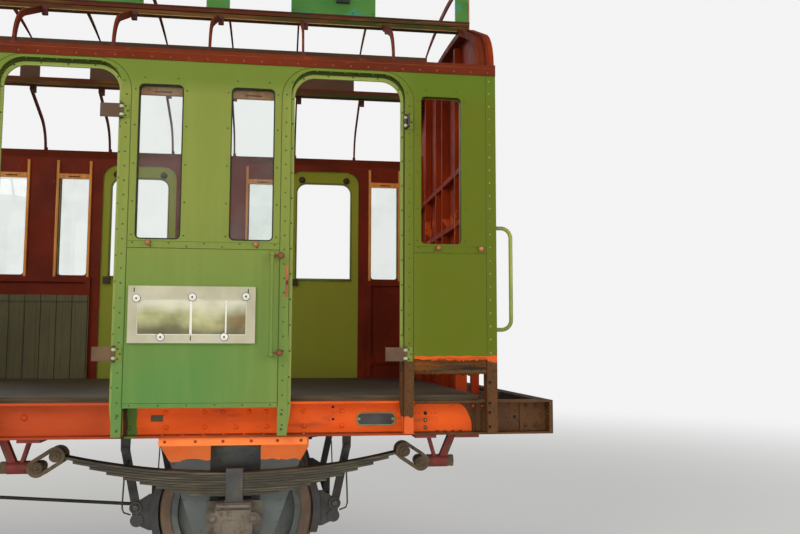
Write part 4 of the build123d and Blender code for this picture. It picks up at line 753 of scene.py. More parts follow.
LEFT_HINGE = left_hinge_paint("left_hinge_paint")
HINGE = old_steel("hinge_brown_steel", (84, 62, 44), (66, 48, 36), (48, 36, 28), 0.6, 0.2)
KNUCKLE = plain_paint("knuckle_paint", (196, 206, 172), (150, 170, 122))
COPPER = old_steel("copper_knob", (206, 136, 98), (178, 104, 74), (128, 68, 50), 0.34, 0.55, 60, 0.001)
KNOB_RED = plain_paint("knob_brown_red", (134, 76, 46), (106, 54, 34), 0.35)
KEEPER = plain_paint("keeper_brown", (186, 104, 60), (150, 80, 46))
SEAM = plain_paint("seam_shadow", (82, 94, 32), (68, 82, 28), 0.7)
ORANGE_BOLT = plain_paint("bolt_orange", (226, 84, 34), (204, 70, 30))
SHADE = plain_paint("rebate_shade", (58, 70, 20), (48, 60, 18), 0.7)
SLOT_WOOD = plain_paint("slot_wood", (126, 74, 32), (98, 56, 26), 0.8)
RUBBER = plain_paint("window_rubber", (40, 44, 26), (30, 32, 22), 0.7)
RIVET = plain_paint("rivet_green", (74, 92, 34), (60, 78, 32))
PALE_RIVET = plain_paint("rivet_worn", (150, 160, 110), (110, 118, 70), 0.45)
CANT_RIVET = plain_paint("rivet_oxide", (150, 80, 54), (122, 60, 40), 0.6)
DECK = wood("floor_planks", (92, 78, 52), (62, 52, 36), 0, 0.14)
BEAM = old_beam("beam_timber")
PINE = wood("pine_battens", (255, 176, 78), (226, 136, 54), 2, rough=0.55)
BOARDS = wood("olive_boards", (112, 106, 70), (98, 92, 60), 2, 0.13)
ROTTEN = rotten_wood("rotten_rail")
TAG = plain_paint("tag_brown", (94, 78, 50), (76, 64, 42), 0.55)
PLATE_RIM = plain_paint("plate_rim_paint", (146, 162, 124), (110, 126, 84))
LEAF_LINE = plain_paint("leaf_gap", (34, 30, 26), (26, 24, 20), 0.8)
CLEAT = plain_paint("cleat_red", (84, 34, 24), (60, 28, 22), 0.7)
RING_STEEL = old_steel("ring_steel", (112, 110, 104), (92, 90, 84), (72, 60, 50), 0.5, 0.4)
PALE_WOOD = plain_paint("pale_wood_edge", (164, 132, 76), (128, 96, 54), 0.75)
BLACK = plain_paint("vent_black", (30, 30, 28), (20, 20, 20), 0.6)
RAIL_YELLOW = plain_paint("rail_yellow_green", (152, 158, 62), (120, 132, 52), 0.35)
CREAM = plain_paint("notice_cream", (196, 190, 164), (176, 170, 142), 0.45)
WHITE = plain_paint("notice_white_bar", (240, 238, 226), (226, 224, 210), 0.4)
GLASS = window_glass("window_glass")
PAINTED_REFLECTION_PANE = mirror_pane("notice_pane_gloss")

NODES_BY_FINISH = (
    (GREEN, "near_door_frames", "far_door_frames", "near_wall_panels", "far_wall_panels",
     "near_corner_panels", "far_corner_panels", "side_handrails"),
    (GREEN, "far_door_1", "far_door_2", "far_door_3", "far_door_4", "far_door_5"),
    (CLERESTORY, "clerestory_panels", "clerestory_rails"),
    (OXIDE, "cant_rails", "roof_bows", "end_hoops", "clerestory_bows"),
    (END_PAINT, "end_walls"),
    (ORANGE, "solebars", "solebar_plates"),
    (GUARD, "axle_guards"),
    (RUST, "headstocks", "cross_bearers", "centre_sills", "axle_front", "axle_rear"),
    (BRAKE, "name_plate", "brake_shoes", "brake_hangers", "brake_shaft", "brake_rods"),
    (SPRING, "leaf_springs"),
    (BUCKLE, "spring_buckles"),
    (LINK, "spring_links"),
    (BRACKET, "spring_brackets"),
    (BOX, "axle_boxes"),
    (TYRE, "tyres_front", "tyres_rear"),
    (WHEEL, "wheel_centres_front", "wheel_centres_rear"),
    (DECK, "floor"),
    (BEAM, "clerestory_beams"),
    (PINE, "window_battens"),
    (BOARDS, "wainscot"),
    (BLACK, "clerestory_vents"),
    (GLASS, "near_windows", "far_windows"),
    (LEFT_HINGE, "near_hinge_leaves"),
    (HINGE, "far_door_hinges"),
    (RAIL_YELLOW, "end_handrails"),
    (CREAM, "notice_frame"),
    (PAINTED_REFLECTION_PANE, "notice_pane"),
)
node_finish = {node: finish for finish, *nodes in NODES_BY_FINISH for node in nodes}
for name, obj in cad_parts.items():
    for slot in obj.material_slots:
        slot.material = node_finish[name]


# Rivets, screws and seams of the body sides

BAYS = [(door + FRAME_HALF, door + DOOR_PITCH - FRAME_HALF) for door in DOORS[:-1]]
END_BAY = (LAST_DOOR + FRAME_HALF, BODY_END - 0.062)
ALL_BAYS = BAYS + [END_BAY, (-END_BAY[1], -END_BAY[0])]
WINDOW_CENTRES = [door + side * WINDOW_MIDDLE for door in DOORS for side in (-1, 1)]
WINDOWS = [(centre - WINDOW_HALF, centre + WINDOW_HALF) for centre in WINDOW_CENTRES]
SEAM_LOW = 2.094
SEAM_HIGH = 2.133
WAIST_RISES = (0.03, 0.012)
FOOT_SEAM = PANEL_LOW.z + 0.026
FOOT_RIVETS = 1.204
FOOT_PITCH = 0.145
WAIST_PITCH = 0.1
BROWN_LEG_TOP = 1.446
SURROUND_RIVETS = 0.368
SURROUND_FOOT = 1.09
SURROUND_CORNER = 0.17
SURROUND_PITCH = 0.084
LIP_SCREWS = 0.3295
LIP_SCREW_FOOT = 1.21
LIP_SCREW_CORNER = 0.1325
LIP_SCREW_PITCH = 0.15
WINDOW_SCREW_OUT = 0.022
WINDOW_SCREWS = (WINDOW_HEAD - 0.03, 2.805, 2.58, 2.36, WINDOW_FOOT + 0.02)
LEG_BOLT_OUT = 0.372
LEG_BOLTS = (1.065, 1.15)
CANT_SEAM = 3.24
CANT_RIVETS = 3.211
CORNER_RIVETS = 4.16
CORNER_SEAM = 4.138
CUT_PANEL_FOOT = 1.5


def on_brown_leg(side, x, z):
    """Whether a place is on the stripped leg beside the near corner."""
    return side == NEAR and x > LAST_DOOR and z < BROWN_LEG_TOP


def has_foot(side, bay):
    """Whether a bay keeps its foot, which is cut away beside the near corner."""
    return side == FAR or bay != END_BAY


def glazed_windows(side):
    """Windows with glass; the one beside the near corner has none."""
    return [(x0, x1) for x0, x1 in WINDOWS if side == FAR or x0 <= END_BAY[0]]


def side_rivets(label, side, face):
    """Rivets round the doorways and windows, and along the foot and waist of the bays."""
    places = []
    for door in DOORS:
        column = arch_path(door, SURROUND_RIVETS, SURROUND_FOOT, PANEL_HIGH.z - 0.024, SURROUND_CORNER)
        places += [(x, z) for x, z in spaced(column, SURROUND_PITCH) if not on_brown_leg(side, x, z)]
    for bay in ALL_BAYS:
        if has_foot(side, bay):
            places += [(x, FOOT_RIVETS) for x in evenly(bay[0] + 0.04, bay[1] - 0.04, FOOT_PITCH)]
        for n, x in enumerate(evenly(bay[0] + 0.03, bay[1] - 0.03, WAIST_PITCH)):
            places.append((x, SEAM_LOW + WAIST_RISES[n % 2]))
    for x0, x1 in WINDOWS:
        places += [(x, z) for z in WINDOW_SCREWS for x in (x0 - WINDOW_SCREW_OUT, x1 + WINDOW_SCREW_OUT)]
        places += [(x, WINDOW_HEAD + 0.04) for x in (x0 + 0.03, x1 - 0.03)]
    heads = bmesh.new()
    domes(heads, [(x, face, z) for x, z in places], (0, side, 0), SIDE_RIVET)
    piece(f"side_rivets_{label}", heads, RIVET)


def side_seams(label, side, face):
    """Edges of the doorways' frames, and seams along the foot and waist of the bays."""
    lines = bmesh.new()
    for door in DOORS:
        edge = arch_path(door, FRAME_HALF, PANEL_LOW.z + 0.002, PANEL_HIGH.z - 0.001, FRAME_CORNER)
        trace(lines, edge, face, 0.0022)
    for bay in ALL_BAYS:
        seams = [(SEAM_LOW, 0.002), (SEAM_HIGH, 0.001)]
        if has_foot(side, bay):
            seams.append((FOOT_SEAM, 0.0012))
        for z, radius in seams:
            trace(lines, [(x, z) for x in bay], face, radius)
    piece(f"side_seams_{label}", lines, SEAM)


def window_edges(label, side, face):
    """Rubber round the windows that have glass."""
    rubber = bmesh.new()
    for x0, x1 in glazed_windows(side):
        path = rounded_path(x0, x1, WINDOW_FOOT, WINDOW_HEAD, WINDOW_CORNER)
        trace(rubber, path, face, 0.0035, True)
    piece(f"window_edges_{label}", rubber, RUBBER)


def doorway_screws(label, side, face):
    """Screws in the doorways' lips and bolts in the feet of their legs."""
    screws = bmesh.new()
    normal = (0, side, 0)
    for door in DOORS:
        rim = arch_path(door, LIP_SCREWS, LIP_SCREW_FOOT, PANEL_HIGH.z - 0.035, LIP_SCREW_CORNER)
        row = [place for place in spaced(rim, LIP_SCREW_PITCH) if not on_brown_leg(side, *place)]
        domes(screws, [(x, side * LIP_FACE, z) for x, z in row], normal, SIDE_RIVET)
        for x in (door - LEG_BOLT_OUT, door + LEG_BOLT_OUT):
            if side == FAR or x <= LAST_DOOR:
                for z in LEG_BOLTS:
                    hexagon(screws, (x, face, z), normal, 0.0055, 0.005)
    piece(f"doorway_screws_{label}", screws, RIVET)


def cant_rail_rivets(label, side):
    """Rivets and a seam along the cant rail."""
    cant = bmesh.new()
    face = side * CANT_HIGH.y
    places = [(x, face, CANT_RIVETS) for x in evenly(0.05 - BODY_END, BODY_END - 0.05, 0.105)]
    domes(cant, places, (0, side, 0), EDGE_RIVET)
    trace(cant, [(end * (BODY_END - 0.002), CANT_SEAM) for end in ENDS], face, 0.0012)
    piece(f"cant_rail_rivets_{label}", cant, CANT_RIVET)


def corner_trim(label, side, face):
    """Rivets and a seam on each corner panel."""
    heads = bmesh.new()
    lines = bmesh.new()
    for end in ENDS:
        places = [(end * CORNER_RIVETS, face, z) for z in evenly(CUT_PANEL_FOOT, 3.16, 0.08)]
        domes(heads, places, (0, side, 0), EDGE_RIVET)
        low = CUT_PANEL_FOOT if side == NEAR and end == 1 else 1.2
        trace(lines, [(end * CORNER_SEAM, z) for z in (low, PANEL_HIGH.z)], face, 0.0014)
    piece(f"corner_rivets_{label}", heads, PALE_RIVET)
    piece(f"corner_seams_{label}", lines, SEAM)


for label, side, face in SIDES:
    side_rivets(label, side, face)
    side_seams(label, side, face)
    window_edges(label, side, face)
    doorway_screws(label, side, face)
    cant_rail_rivets(label, side)
    corner_trim(label, side, face)

# Doorways and far doors with the tighter corners of the photograph, in place of the solids

REBATE_CORNER = 0.143
LIP = 0.021
LIP_HEAD = 0.033
LIP_TAPER = 0.16
SHADE_FOOT = 1.6
DOOR_GAP = 0.006
LIGHT_CORNER = 0.085
LIGHT_HALF = 0.245
LEG_BOTTOM = FRAMES_LOW.z
WALL_TOP = FRAMES_HIGH.z
REBATE_TOP = WALL_TOP - 0.018
LIGHT_TOP = WALL_TOP - 0.166
LIGHT_FOOT = LIGHT_TOP - 0.88
DOOR_FOOT = FLOOR_TOP - 0.046
ARC = 18
LOCK_X = -0.262
LOCK_Z = FLOOR_TOP + 0.864
LOCK_HALF = 0.031
LOCK_BACK = 1.352
HINGE_AXIS = 1.434
STRAP_FACE = 1.432
STRAP_LENGTH = 0.088
STRAP_HALF = 0.015
SPINDLE = ((0.018, -0.001), (0.018, 0.005), (0.008, 0.009), (0.008, 0.046))
HANDLE = ((0.005, 0), (0.008, 0.004), (0.008, 0.12), (0.005, 0.124))


def doorway_set(label, side, face):
    """All doorways of one side, with a thin dark band of painted shadow at the back of each rebate."""
    frames = bmesh.new()
    shades = bmesh.new()
    for door in DOORS:
        outer = arch_path(door, FRAME_HALF, LEG_BOTTOM, WALL_TOP, FRAME_CORNER, ARC)
        rebate = arch_path(door, REBATE_HALF, LEG_BOTTOM, REBATE_TOP, REBATE_CORNER, ARC)
        lip_foot = LEG_BOTTOM + LIP_TAPER
        clear = arch_path(door, REBATE_HALF - LIP, lip_foot, REBATE_TOP - LIP_HEAD, REBATE_CORNER - LIP, ARC)
        band(frames, outer, rebate, face, side * LINING)
        band(frames, rebate, clear, side * LIP_FACE, side * LINING)
        # Painted shadow: a thin dark band along the back of each rebate, up its legs and over its head
        outer = arch_path(door, REBATE_HALF - 0.001, SHADE_FOOT, REBATE_TOP - 0.001, REBATE_CORNER, ARC)
        corner = REBATE_CORNER - 0.004
        inner = arch_path(door, REBATE_HALF - 0.003, SHADE_FOOT, REBATE_TOP - 0.012, corner, ARC)
        band(shades, outer, inner, side * (LIP_FACE + SKIN), side * LIP_FACE)
    piece(f"rebate_shades_{label}", shades, SHADE)
    doorways = sharp_edges(piece(f"doorways_{label}", frames, GREEN))
    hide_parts(f"{label}_door_frames")


def far_door(number, door):
    """Leaf of a far side door with its light."""
    leaf = bmesh.new()
    corner = REBATE_CORNER - DOOR_GAP
    outer = arch_path(door, REBATE_HALF - DOOR_GAP, DOOR_FOOT, REBATE_TOP - DOOR_GAP, corner, ARC)
    light = arch_path(door, LIGHT_HALF, LIGHT_FOOT, LIGHT_TOP, LIGHT_CORNER, ARC)
    band(leaf, outer, light, DOOR_IN, DOOR_OUT, True)
    door_leaf = sharp_edges(piece(f"door_leaf_{number}", leaf, GREEN, f"door_{number}"))
    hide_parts(f"far_door_{number}")


def door_fittings(number, door):
    """Lock case, handle and hinge straps of a far side door."""
    iron = bmesh.new()
    lock = door + LOCK_X
    low, high = LOCK_Z - LOCK_HALF, LOCK_Z + LOCK_HALF
    slab(iron, lock - LOCK_HALF, lock + LOCK_HALF, LOCK_BACK, DOOR_IN + 0.001, low, high)
    turned(iron, (lock, DOOR_OUT, LOCK_Z), (0, 1, 0), SPINDLE, 14)
    turned(iron, (lock, DOOR_OUT + 0.046, LOCK_Z - 0.062), (0, 0, 1), HANDLE, 12)
    axis = door + REBATE_HALF
    for z in HINGE_HEIGHTS:
        low, high = z - STRAP_HALF, z + STRAP_HALF
        slab(iron, axis - STRAP_LENGTH, axis, DOOR_OUT - 0.001, STRAP_FACE, low, high)
        turned(iron, (axis, HINGE_AXIS, low), (0, 0, 1), ((0.01, 0), (0.01, 0.03)), 14)
        domes(iron, [(axis + x, STRAP_FACE, z) for x in (-0.07, -0.035)], (0, 1, 0), EDGE_RIVET)
    piece(f"door_fittings_{number}", iron, HINGE, f"door_{number}", False, 0.0012)


for label, side, face in SIDES:
    doorway_set(label, side, face)
for number, door in enumerate(DOORS, start=1):
    far_door(number, door)
    door_fittings(number, door)

# Copper bolts under the windows, knobs beside the handrails and lock keepers

BOLT_OFFSETS = (0.512, -0.532)
END_BOLTS = (0.543, 0.802)
BOLT_HEIGHT = 2.123
BOLT = ((0.01, -0.002), (0.01, 0.008), (0.016, 0.012), (0.016, 0.018), (0.011, 0.025), (0.003, 0.027))
bolts = bmesh.new()
bolt_places = [door + offset for door in DOORS for offset in BOLT_OFFSETS if door + offset < END_BAY[0]]
for x in bolt_places + [LAST_DOOR + offset for offset in END_BOLTS]:
    turned(bolts, (x, -OUTER, BOLT_HEIGHT), (0, -1, 0), BOLT, 14)
piece("copper_bolts", bolts, COPPER)

KNOB_OFFSET = -0.387
KNOB_HEIGHTS = (1.499, 2.058)
KNOB_REACH = 0.045
KNOB_RADIUS = 0.02
KNOB_STALK = ((0.012, -0.001), (0.012, 0.006), (0.007, 0.01), (0.007, 0.04))
knobs = bmesh.new()
for label, side, face in SIDES:
    for x in [door + KNOB_OFFSET for door in DOORS]:
        for z in KNOB_HEIGHTS:
            place = (x, face + side * KNOB_REACH, z)
            ball(knobs, place, KNOB_RADIUS)
            turned(knobs, (x, face, z), (0, side, 0), KNOB_STALK, 12)
            turned(knobs, place, (-1, 0, 0), ((0.006, 0.0), (0.006, 0.05)), 10)
piece("door_stop_knobs", knobs, KNOB_RED)

KEEPER_OFFSET = -0.3505
keepers = bmesh.new()
# The keepers' slots are drawn as black slabs: painted shade in each slot
slots = bmesh.new()
for x in [door + KEEPER_OFFSET for door in DOORS]:
    slab(keepers, x - 0.0075, x + 0.0075, -OUTER - 0.004, -OUTER + 0.001, 1.823, 2.009)
    slab(slots, x - 0.004, x + 0.004, -OUTER - 0.0055, -OUTER, 1.892, 1.918)
piece("lock_keepers", keepers, KEEPER, smooth=False, rounding=0.001)
piece("lock_keeper_slots", slots, BLACK, smooth=False)

# Hinge screws, bright knuckles and the one leaf that stands open

HINGE_SCREWS = ((0.022, -0.028), (0.034, 0), (0.022, 0.028))
knuckles = bmesh.new()
hinge_screws = bmesh.new()
for x in [door + REBATE_HALF + 0.004 for door in DOORS]:
    for z in HINGE_HEIGHTS:
        for step in (-0.024, 0.024):
            ball(knuckles, (x, -OUTER - 0.011, z + step), 0.0125)
        for foot in (z - 0.046, z + 0.038):
            turned(hinge_screws, (x, -OUTER - 0.01, foot), (0, 0, 1), ((0.009, 0), (0.009, 0.008)), 12)
        places = [(x + dx, -OUTER - 0.006, z + dz) for dx, dz in HINGE_SCREWS]
        domes(hinge_screws, places, (0, -1, 0), (0.0055, 0.004))
piece("hinge_knuckles", knuckles, KNUCKLE)
open_leaf = bmesh.new()
slab(open_leaf, LAST_DOOR + 0.352, LAST_DOOR + 0.359, -OUTER - 0.066, -OUTER - 0.008, 2.845, 2.925)
piece("open_hinge_leaf", open_leaf, HINGE, smooth=False)
piece("hinge_screws", hinge_screws, HINGE)

# Notice board: bars round and across the pane, five clamps and three slots

BAR_BACK = PANE_LOW.y + 0.001
BAR_FRONT = PANE_LOW.y - 0.006
EDGE_BAR = 0.004
NOTICE_BARS = ((2.412, 0.007), (2.607, 0.0045), (PANE_LOW.x, EDGE_BAR), (PANE_HIGH.x, EDGE_BAR))
bars = bmesh.new()
for x, half in NOTICE_BARS:
    slab(bars, x - half, x + half, BAR_FRONT, BAR_BACK, PANE_LOW.z - EDGE_BAR, PANE_HIGH.z + EDGE_BAR)
for z in (PANE_LOW.z, PANE_HIGH.z):
    slab(bars, PANE_LOW.x - EDGE_BAR, PANE_HIGH.x + EDGE_BAR, BAR_FRONT, BAR_BACK, z - EDGE_BAR, z + EDGE_BAR)
piece("notice_bars", bars, WHITE, smooth=False, rounding=0.0015)

CLAMPS = ((2.111, 1.805), (2.418, 1.814), (2.718, 1.82), (2.248, 1.587), (2.6, 1.589))
CLAMP = ((0.021, -0.001), (0.021, 0.003), (0.019, 0.004), (0.007, 0.004), (0.006, 0.007), (0.004, 0.008))
clamps = bmesh.new()
rims = bmesh.new()
for x, z in CLAMPS:
    turned(clamps, (x, NOTICE_FRONT, z), (0, -1, 0), CLAMP, 20)
    trace(rims, circle(x, z, 0.0215, 20), NOTICE_FRONT - 0.001, 0.0022, True)
    turned(rims, (x, NOTICE_FRONT, z), (0, -1, 0), ((0.0055, 0.004), (0.0055, 0.0085)), 8)
piece("notice_clamps", clamps, WHITE)
piece("notice_clamp_rims", rims, BLACK)
# Slots drawn as thin black slabs on the frame: painted shade in each slot
notches = bmesh.new()
for x, z in ((2.098, 1.852), (2.73, 1.852), (2.413, 1.58)):
    slab(notches, x - 0.003, x + 0.003, NOTICE_FRONT - 0.0006, NOTICE_FRONT + 0.001, z - 0.012, z + 0.012)
piece("notice_slots", notches, BLACK, smooth=False)

# Rivets and bolts of the underframe: rows on the solebar's web by height and size

WEB_ROWS = (
    (1.154, (0.015, 0.011), (2.268, 2.489, 2.592, 2.741, 2.84, 3.062, 3.287)),
    (1.068, (0.015, 0.011), (2.271, 2.491, 2.668, 2.847, 3.063, 3.287)),
    (1.13, (0.019, 0.013), (0.42, 0.97, 1.492)),
    (1.068, (0.013, 0.01), (1.987, 2.065)),
)
GUARD_HEADS = (-0.385, -0.215, -0.06, 0.1, 0.25, 0.385)
GUARD_HEAD_Y = 1.345
GUARD_HEAD_Z = 0.994
FLANGE_Y = 1.335
FLANGE_TOP = 1.028
FLANGE_UNDER = 1.004
FLANGE_REACH = 0.4
for label, side, face in SIDES:
    web = bmesh.new()
    normal = (0, side, 0)
    for end in ENDS:
        for z, size, row in WEB_ROWS:
            domes(web, [(end * x, side * WEB_Y, z) for x in row], normal, size)
        row = evenly(AXLE_X - FLANGE_REACH, AXLE_X + FLANGE_REACH, 0.107)
        flange = [(end * x, side * FLANGE_Y) for x in row]
        domes(web, [(x, y, FLANGE_TOP) for x, y in flange], (0, 0, 1), FRAME_RIVET)
        domes(web, [(x, y, FLANGE_UNDER) for x, y in flange], (0, 0, -1), FRAME_RIVET)
        places = [(end * AXLE_X + x, side * GUARD_HEAD_Y, GUARD_HEAD_Z) for x in GUARD_HEADS]
        domes(web, places, normal, FRAME_RIVET)
        for x in evenly(3.86, 4.0, 0.05):
            hexagon(web, (end * x, side * 1.3, SILL_FOOT + 0.012), (0, 0, 1), 0.009, 0.01)
    piece(f"solebar_rivets_{label}", web, ORANGE)

    iron = bmesh.new()
    for end in ENDS:
        places = [(end * x, side * (WEB_Y + 0.01), z) for x in (4.412, 4.476) for z in (1.06, 1.18)]
        domes(iron, places, normal, (0.012, 0.009))
        places = [(end * (FRAME_END - 0.022), side * 1.32, z) for z in (1.07, 1.13, 1.19)]
        domes(iron, places, (-end, 0, 0), HEADSTOCK_RIVET)
    domes(iron, [(4.152, -OUTER, z) for z in (1.067, 1.151, 1.205, 1.327)], (0, -1, 0), FRAME_RIVET)
    piece(f"corner_bolts_{label}", iron, RUST)

# Bolts and holes of the patch plates and the stiffener, by place, radius and depth before the web

PATCH_BOLT_X = 3.789
HOLES = ((PATCH_BOLT_X, 1.138, 0.011, 0.011), (3.233, 1.178, 0.008, 0.001), (3.234, 1.107, 0.008, 0.001),
         (4.345, 1.111, 0.009, 0.001))
plate_bolts = bmesh.new()
holes = bmesh.new()
domes(plate_bolts, [(x, -WEB_Y - 0.005, 1.1055) for x in (3.388, 3.592)], (0, -1, 0), (0.01, 0.007))
# Holes drawn as thin black discs before the web: painted shade inside each hole; the washers share the black
for x, z, radius, depth in HOLES:
    turned(holes, (x, -WEB_Y - depth, z), (0, -1, 0), ((radius, 0), (radius, 0.0008)), 16)
for x in (3.73, 3.75, 3.825, 3.85):
    turned(holes, (x, -WEB_Y - 0.011, 1.138), (0, -1, 0), ((0.003, 0), (0.003, 0.0008)), 8)
for z in (1.096, 1.054):
    washer = ((0.011, 0), (0.011, 0.004), (0.008, 0.004))
    turned(holes, (PATCH_BOLT_X, -WEB_Y - 0.01, z), (0, -1, 0), washer, 14)
    dome(plate_bolts, (PATCH_BOLT_X, -WEB_Y - 0.014, z), (0, -1, 0), *EDGE_RIVET)
piece("plate_bolts", plate_bolts, PALE_RIVET)
piece("plate_holes", holes, BLACK)
stiffener_bolts = bmesh.new()
for x in (4.085, 4.141):
    hexagon(stiffener_bolts, (x, -WEB_Y, 1.18), (0, -1, 0), 0.008, 0.012)
piece("stiffener_bolts", stiffener_bolts, ORANGE_BOLT)

# Tag and rim of the blank plates

tag = bmesh.new()
slab(tag, 2.185, 2.253, -WEB_Y - 0.003, -WEB_Y + 0.001, 1.102, 1.139)
piece("solebar_tag", tag, TAG, smooth=False, rounding=0.001)
rim = bmesh.new()
edge = rounded_path(PLATE_LOW.x, PLATE_HIGH.x, PLATE_LOW.z, PLATE_HIGH.z, 0.028)
trace(rim, edge, PLATE_LOW.y, 0.0035, True)
piece("name_plate_rim", rim, PLATE_RIM)

# Leaf lines of the springs

SPRING_BEND = 4.374
SPRING_RISE = AXLE_Z + 0.287
SPRING_FACES = (1.065, 1.155)
LEAF = 0.015
LEAVES = 9
LONG_LEAF = 1.02
LEAF_STEP = 0.095
leaf_lines = bmesh.new()
for side, end in QUARTERS:
    for face in SPRING_FACES:
        for leaf in range(1, LEAVES):
            bend = SPRING_BEND + leaf * LEAF
            half = LONG_LEAF - LEAF_STEP * leaf
            path = []
            for n in range(17):
                x = half * (n / 8 - 1)
                path.append((end * AXLE_X + x, SPRING_RISE + SPRING_BEND - math.sqrt(bend * bend - x * x)))
            trace(leaf_lines, path, side * face, 0.0013, sides=5)
piece("spring_leaf_lines", leaf_lines, LEAF_LINE)

# Feet and cleats of the roof bows

BOW_PITCH = 0.55
CLEAT_FACE = 0.89
feet = bmesh.new()
for side in (NEAR, FAR):
    for x in [BOW_PITCH * (n + 0.5) for n in range(-7, 7)]:
        slab(feet, x - 0.012, x + 0.014, side * 1.389, side * 1.402, CANT_HIGH.z - 0.001, CANT_HIGH.z + 0.03)
        slab(feet, x + 0.007, x + 0.042, side * 0.865, side * CLEAT_FACE, 3.634, 3.69)
        dome(feet, (x + 0.028, side * CLEAT_FACE, 3.665), (0, side, 0), 0.008, 0.006)
piece("bow_cleats", feet, CLEAT, smooth=False, rounding=0.002)

# Rings, washers and wire loops of the brake hangers, and ends of the link pins

HANGER_FACE = 0.797
WIRE_FACE = 0.793
RING_OUT = 0.62
RING_Z = AXLE_Z + 0.03
PIN_OUT = 0.695
PIN_Z = SILL_FOOT - 0.128
WIRE_LOOP = ((0.672, 0.82), (0.694, 0.74), (0.7, 0.6), (0.702, 0.53), (0.692, 0.502), (0.65, 0.487))
LINK_PINS = ((1.02, LINK_HIGH.z - 0.054), (1.12, LINK_LOW.z + 0.054))
rings = bmesh.new()
wires = bmesh.new()
pins = bmesh.new()
for side, end in QUARTERS:
    face = side * HANGER_FACE
    normal = (0, side, 0)
    for out in (-1, 1):
        x = end * AXLE_X + out * RING_OUT
        trace(rings, circle(x, RING_Z, 0.035, 20), face, 0.004, True)
        turned(rings, (x, face, RING_Z), normal, ((0.02, -0.001), (0.02, 0.006), (0.012, 0.01)), 12)
        x = end * AXLE_X + out * PIN_OUT
        turned(rings, (x, face, PIN_Z), normal, ((0.024, -0.001), (0.024, 0.004)), 14)
        path = [(end * AXLE_X + out * reach, rise) for reach, rise in WIRE_LOOP]
        trace(wires, path, side * WIRE_FACE, 0.005)
        for reach, z in LINK_PINS:
            x = end * AXLE_X + out * reach
            trace(pins, circle(x, z, 0.026, 15), side * LINK_HIGH.y, 0.003, True, 6)
            profile = ((0.013, -0.001), (0.013, 0.006), (0.009, 0.009))
            turned(pins, (x, side * LINK_HIGH.y, z), normal, profile, 14)
piece("hanger_rings", rings, RING_STEEL)
piece("link_pin_ends", pins, LINK)
piece("hanger_wires", wires, BRAKE)

# Edges of the clerestory's beams and corner posts

POST_EDGE = 0.28
pale_edges = bmesh.new()
red_edges = bmesh.new()
for side in (NEAR, FAR):
    for edges, z, radius in ((pale_edges, BEAM_LOW.z, 0.003), (red_edges, BEAM_HIGH.z, 0.006)):
        trace(edges, [(x, z) for x in (BEAM_LOW.x, BEAM_HIGH.x)], side * BEAM_HIGH.y, radius)
    y = side * CLERESTORY_FACE
    for end in ENDS:
        x = end * (BEAM_HIGH.x - 0.001)
        slab(pale_edges, x - 0.006, x + 0.003, y - 0.004, y + 0.004, BEAM_HIGH.z, BEAM_HIGH.z + POST_EDGE)
piece("beam_pale_edges", pale_edges, PALE_WOOD, smooth=False)
piece("beam_red_edges", red_edges, CLEAT)

# Wood at the back of the slots in the window battens, in a darker brown than the pine that paints the slots'
# shade

SLOT_HALF = 0.0495
SLOT_TOP = WINDOW_HEAD - 0.0205
SLOT_FOOT = WINDOW_HEAD - 0.0305
SLOT_DEPTH = BATTEN_FACE - 0.012
slot_backs = bmesh.new()
for side in (NEAR, FAR):
    back = side * SLOT_DEPTH
    for x0, x1 in glazed_windows(side):
        x0 += WINDOW_HALF - SLOT_HALF
        x1 -= WINDOW_HALF - SLOT_HALF
        slab(slot_backs, x0, x1, back - 0.002, back + 0.002, SLOT_FOOT, SLOT_TOP)
piece("batten_slot_backs", slot_backs, SLOT_WOOD, smooth=False)

# Screws of the clerestory panels

PANEL_SCREWS = 0.33
END_PANEL_SCREW = 3.503
SCREW_ROWS = (BEAM_HIGH.z + 0.03, BEAM_HIGH.z + 0.25)
screws = bmesh.new()
for side in (NEAR, FAR):
    for door in DOORS:
        low = max(door - PANEL_SCREWS, -END_PANEL_SCREW)
        high = min(door + PANEL_SCREWS, END_PANEL_SCREW)
        for x in [low + (high - low) * share for share in (0, 0.25, 0.75, 1)]:
            domes(screws, [(x, side * CLERESTORY_FACE, z) for z in SCREW_ROWS], (0, side, 0), EDGE_RIVET)
piece("clerestory_screws", screws, RIVET)

# End walls outside: seams and rivets

END_SEAM_Y = 0.46
WAIST_SEAM = 2.113
END_EDGE_RIVETS = 1.335
CUT_FAR = -0.59
CUT_TOP = 1.47
CORNER_POST = -1.3
for label, end in NAMED_ENDS:
    face = end * BODY_END
    seams = bmesh.new()
    places = []
    for y in (-END_SEAM_Y, END_SEAM_Y):
        tube(seams, [(face, y, 1.23), (face, y, 3.66)], 0.0016, (1, 0, 0))
        places += [(y + dy, z) for z in evenly(1.28, 3.6, 0.11) for dy in (-0.022, 0.022)]
    tube(seams, [(face, -1.355, WAIST_SEAM), (face, 1.355, WAIST_SEAM)], 0.0016, (1, 0, 0))
    for y in evenly(-1.32, 1.32, 0.11):
        if end < 0 or y > CUT_FAR:
            places.append((y, 1.245))
        elif y > CORNER_POST:
            places.append((y, CUT_TOP + 0.03))
        places.append((y, WAIST_SEAM + 0.022))
    places += [(y, z) for y in (-END_EDGE_RIVETS, END_EDGE_RIVETS) for z in evenly(1.3, 3.24, 0.1)]
    heads = bmesh.new()
    domes(heads, [(face, y, z) for y, z in places], (end, 0, 0), EDGE_RIVET)
    piece(f"end_seams_{label}", seams, SEAM)
    piece(f"end_rivets_{label}", heads, RIVET)

# Headstocks: rivets, and the draw hook's plate as four bars round its hole

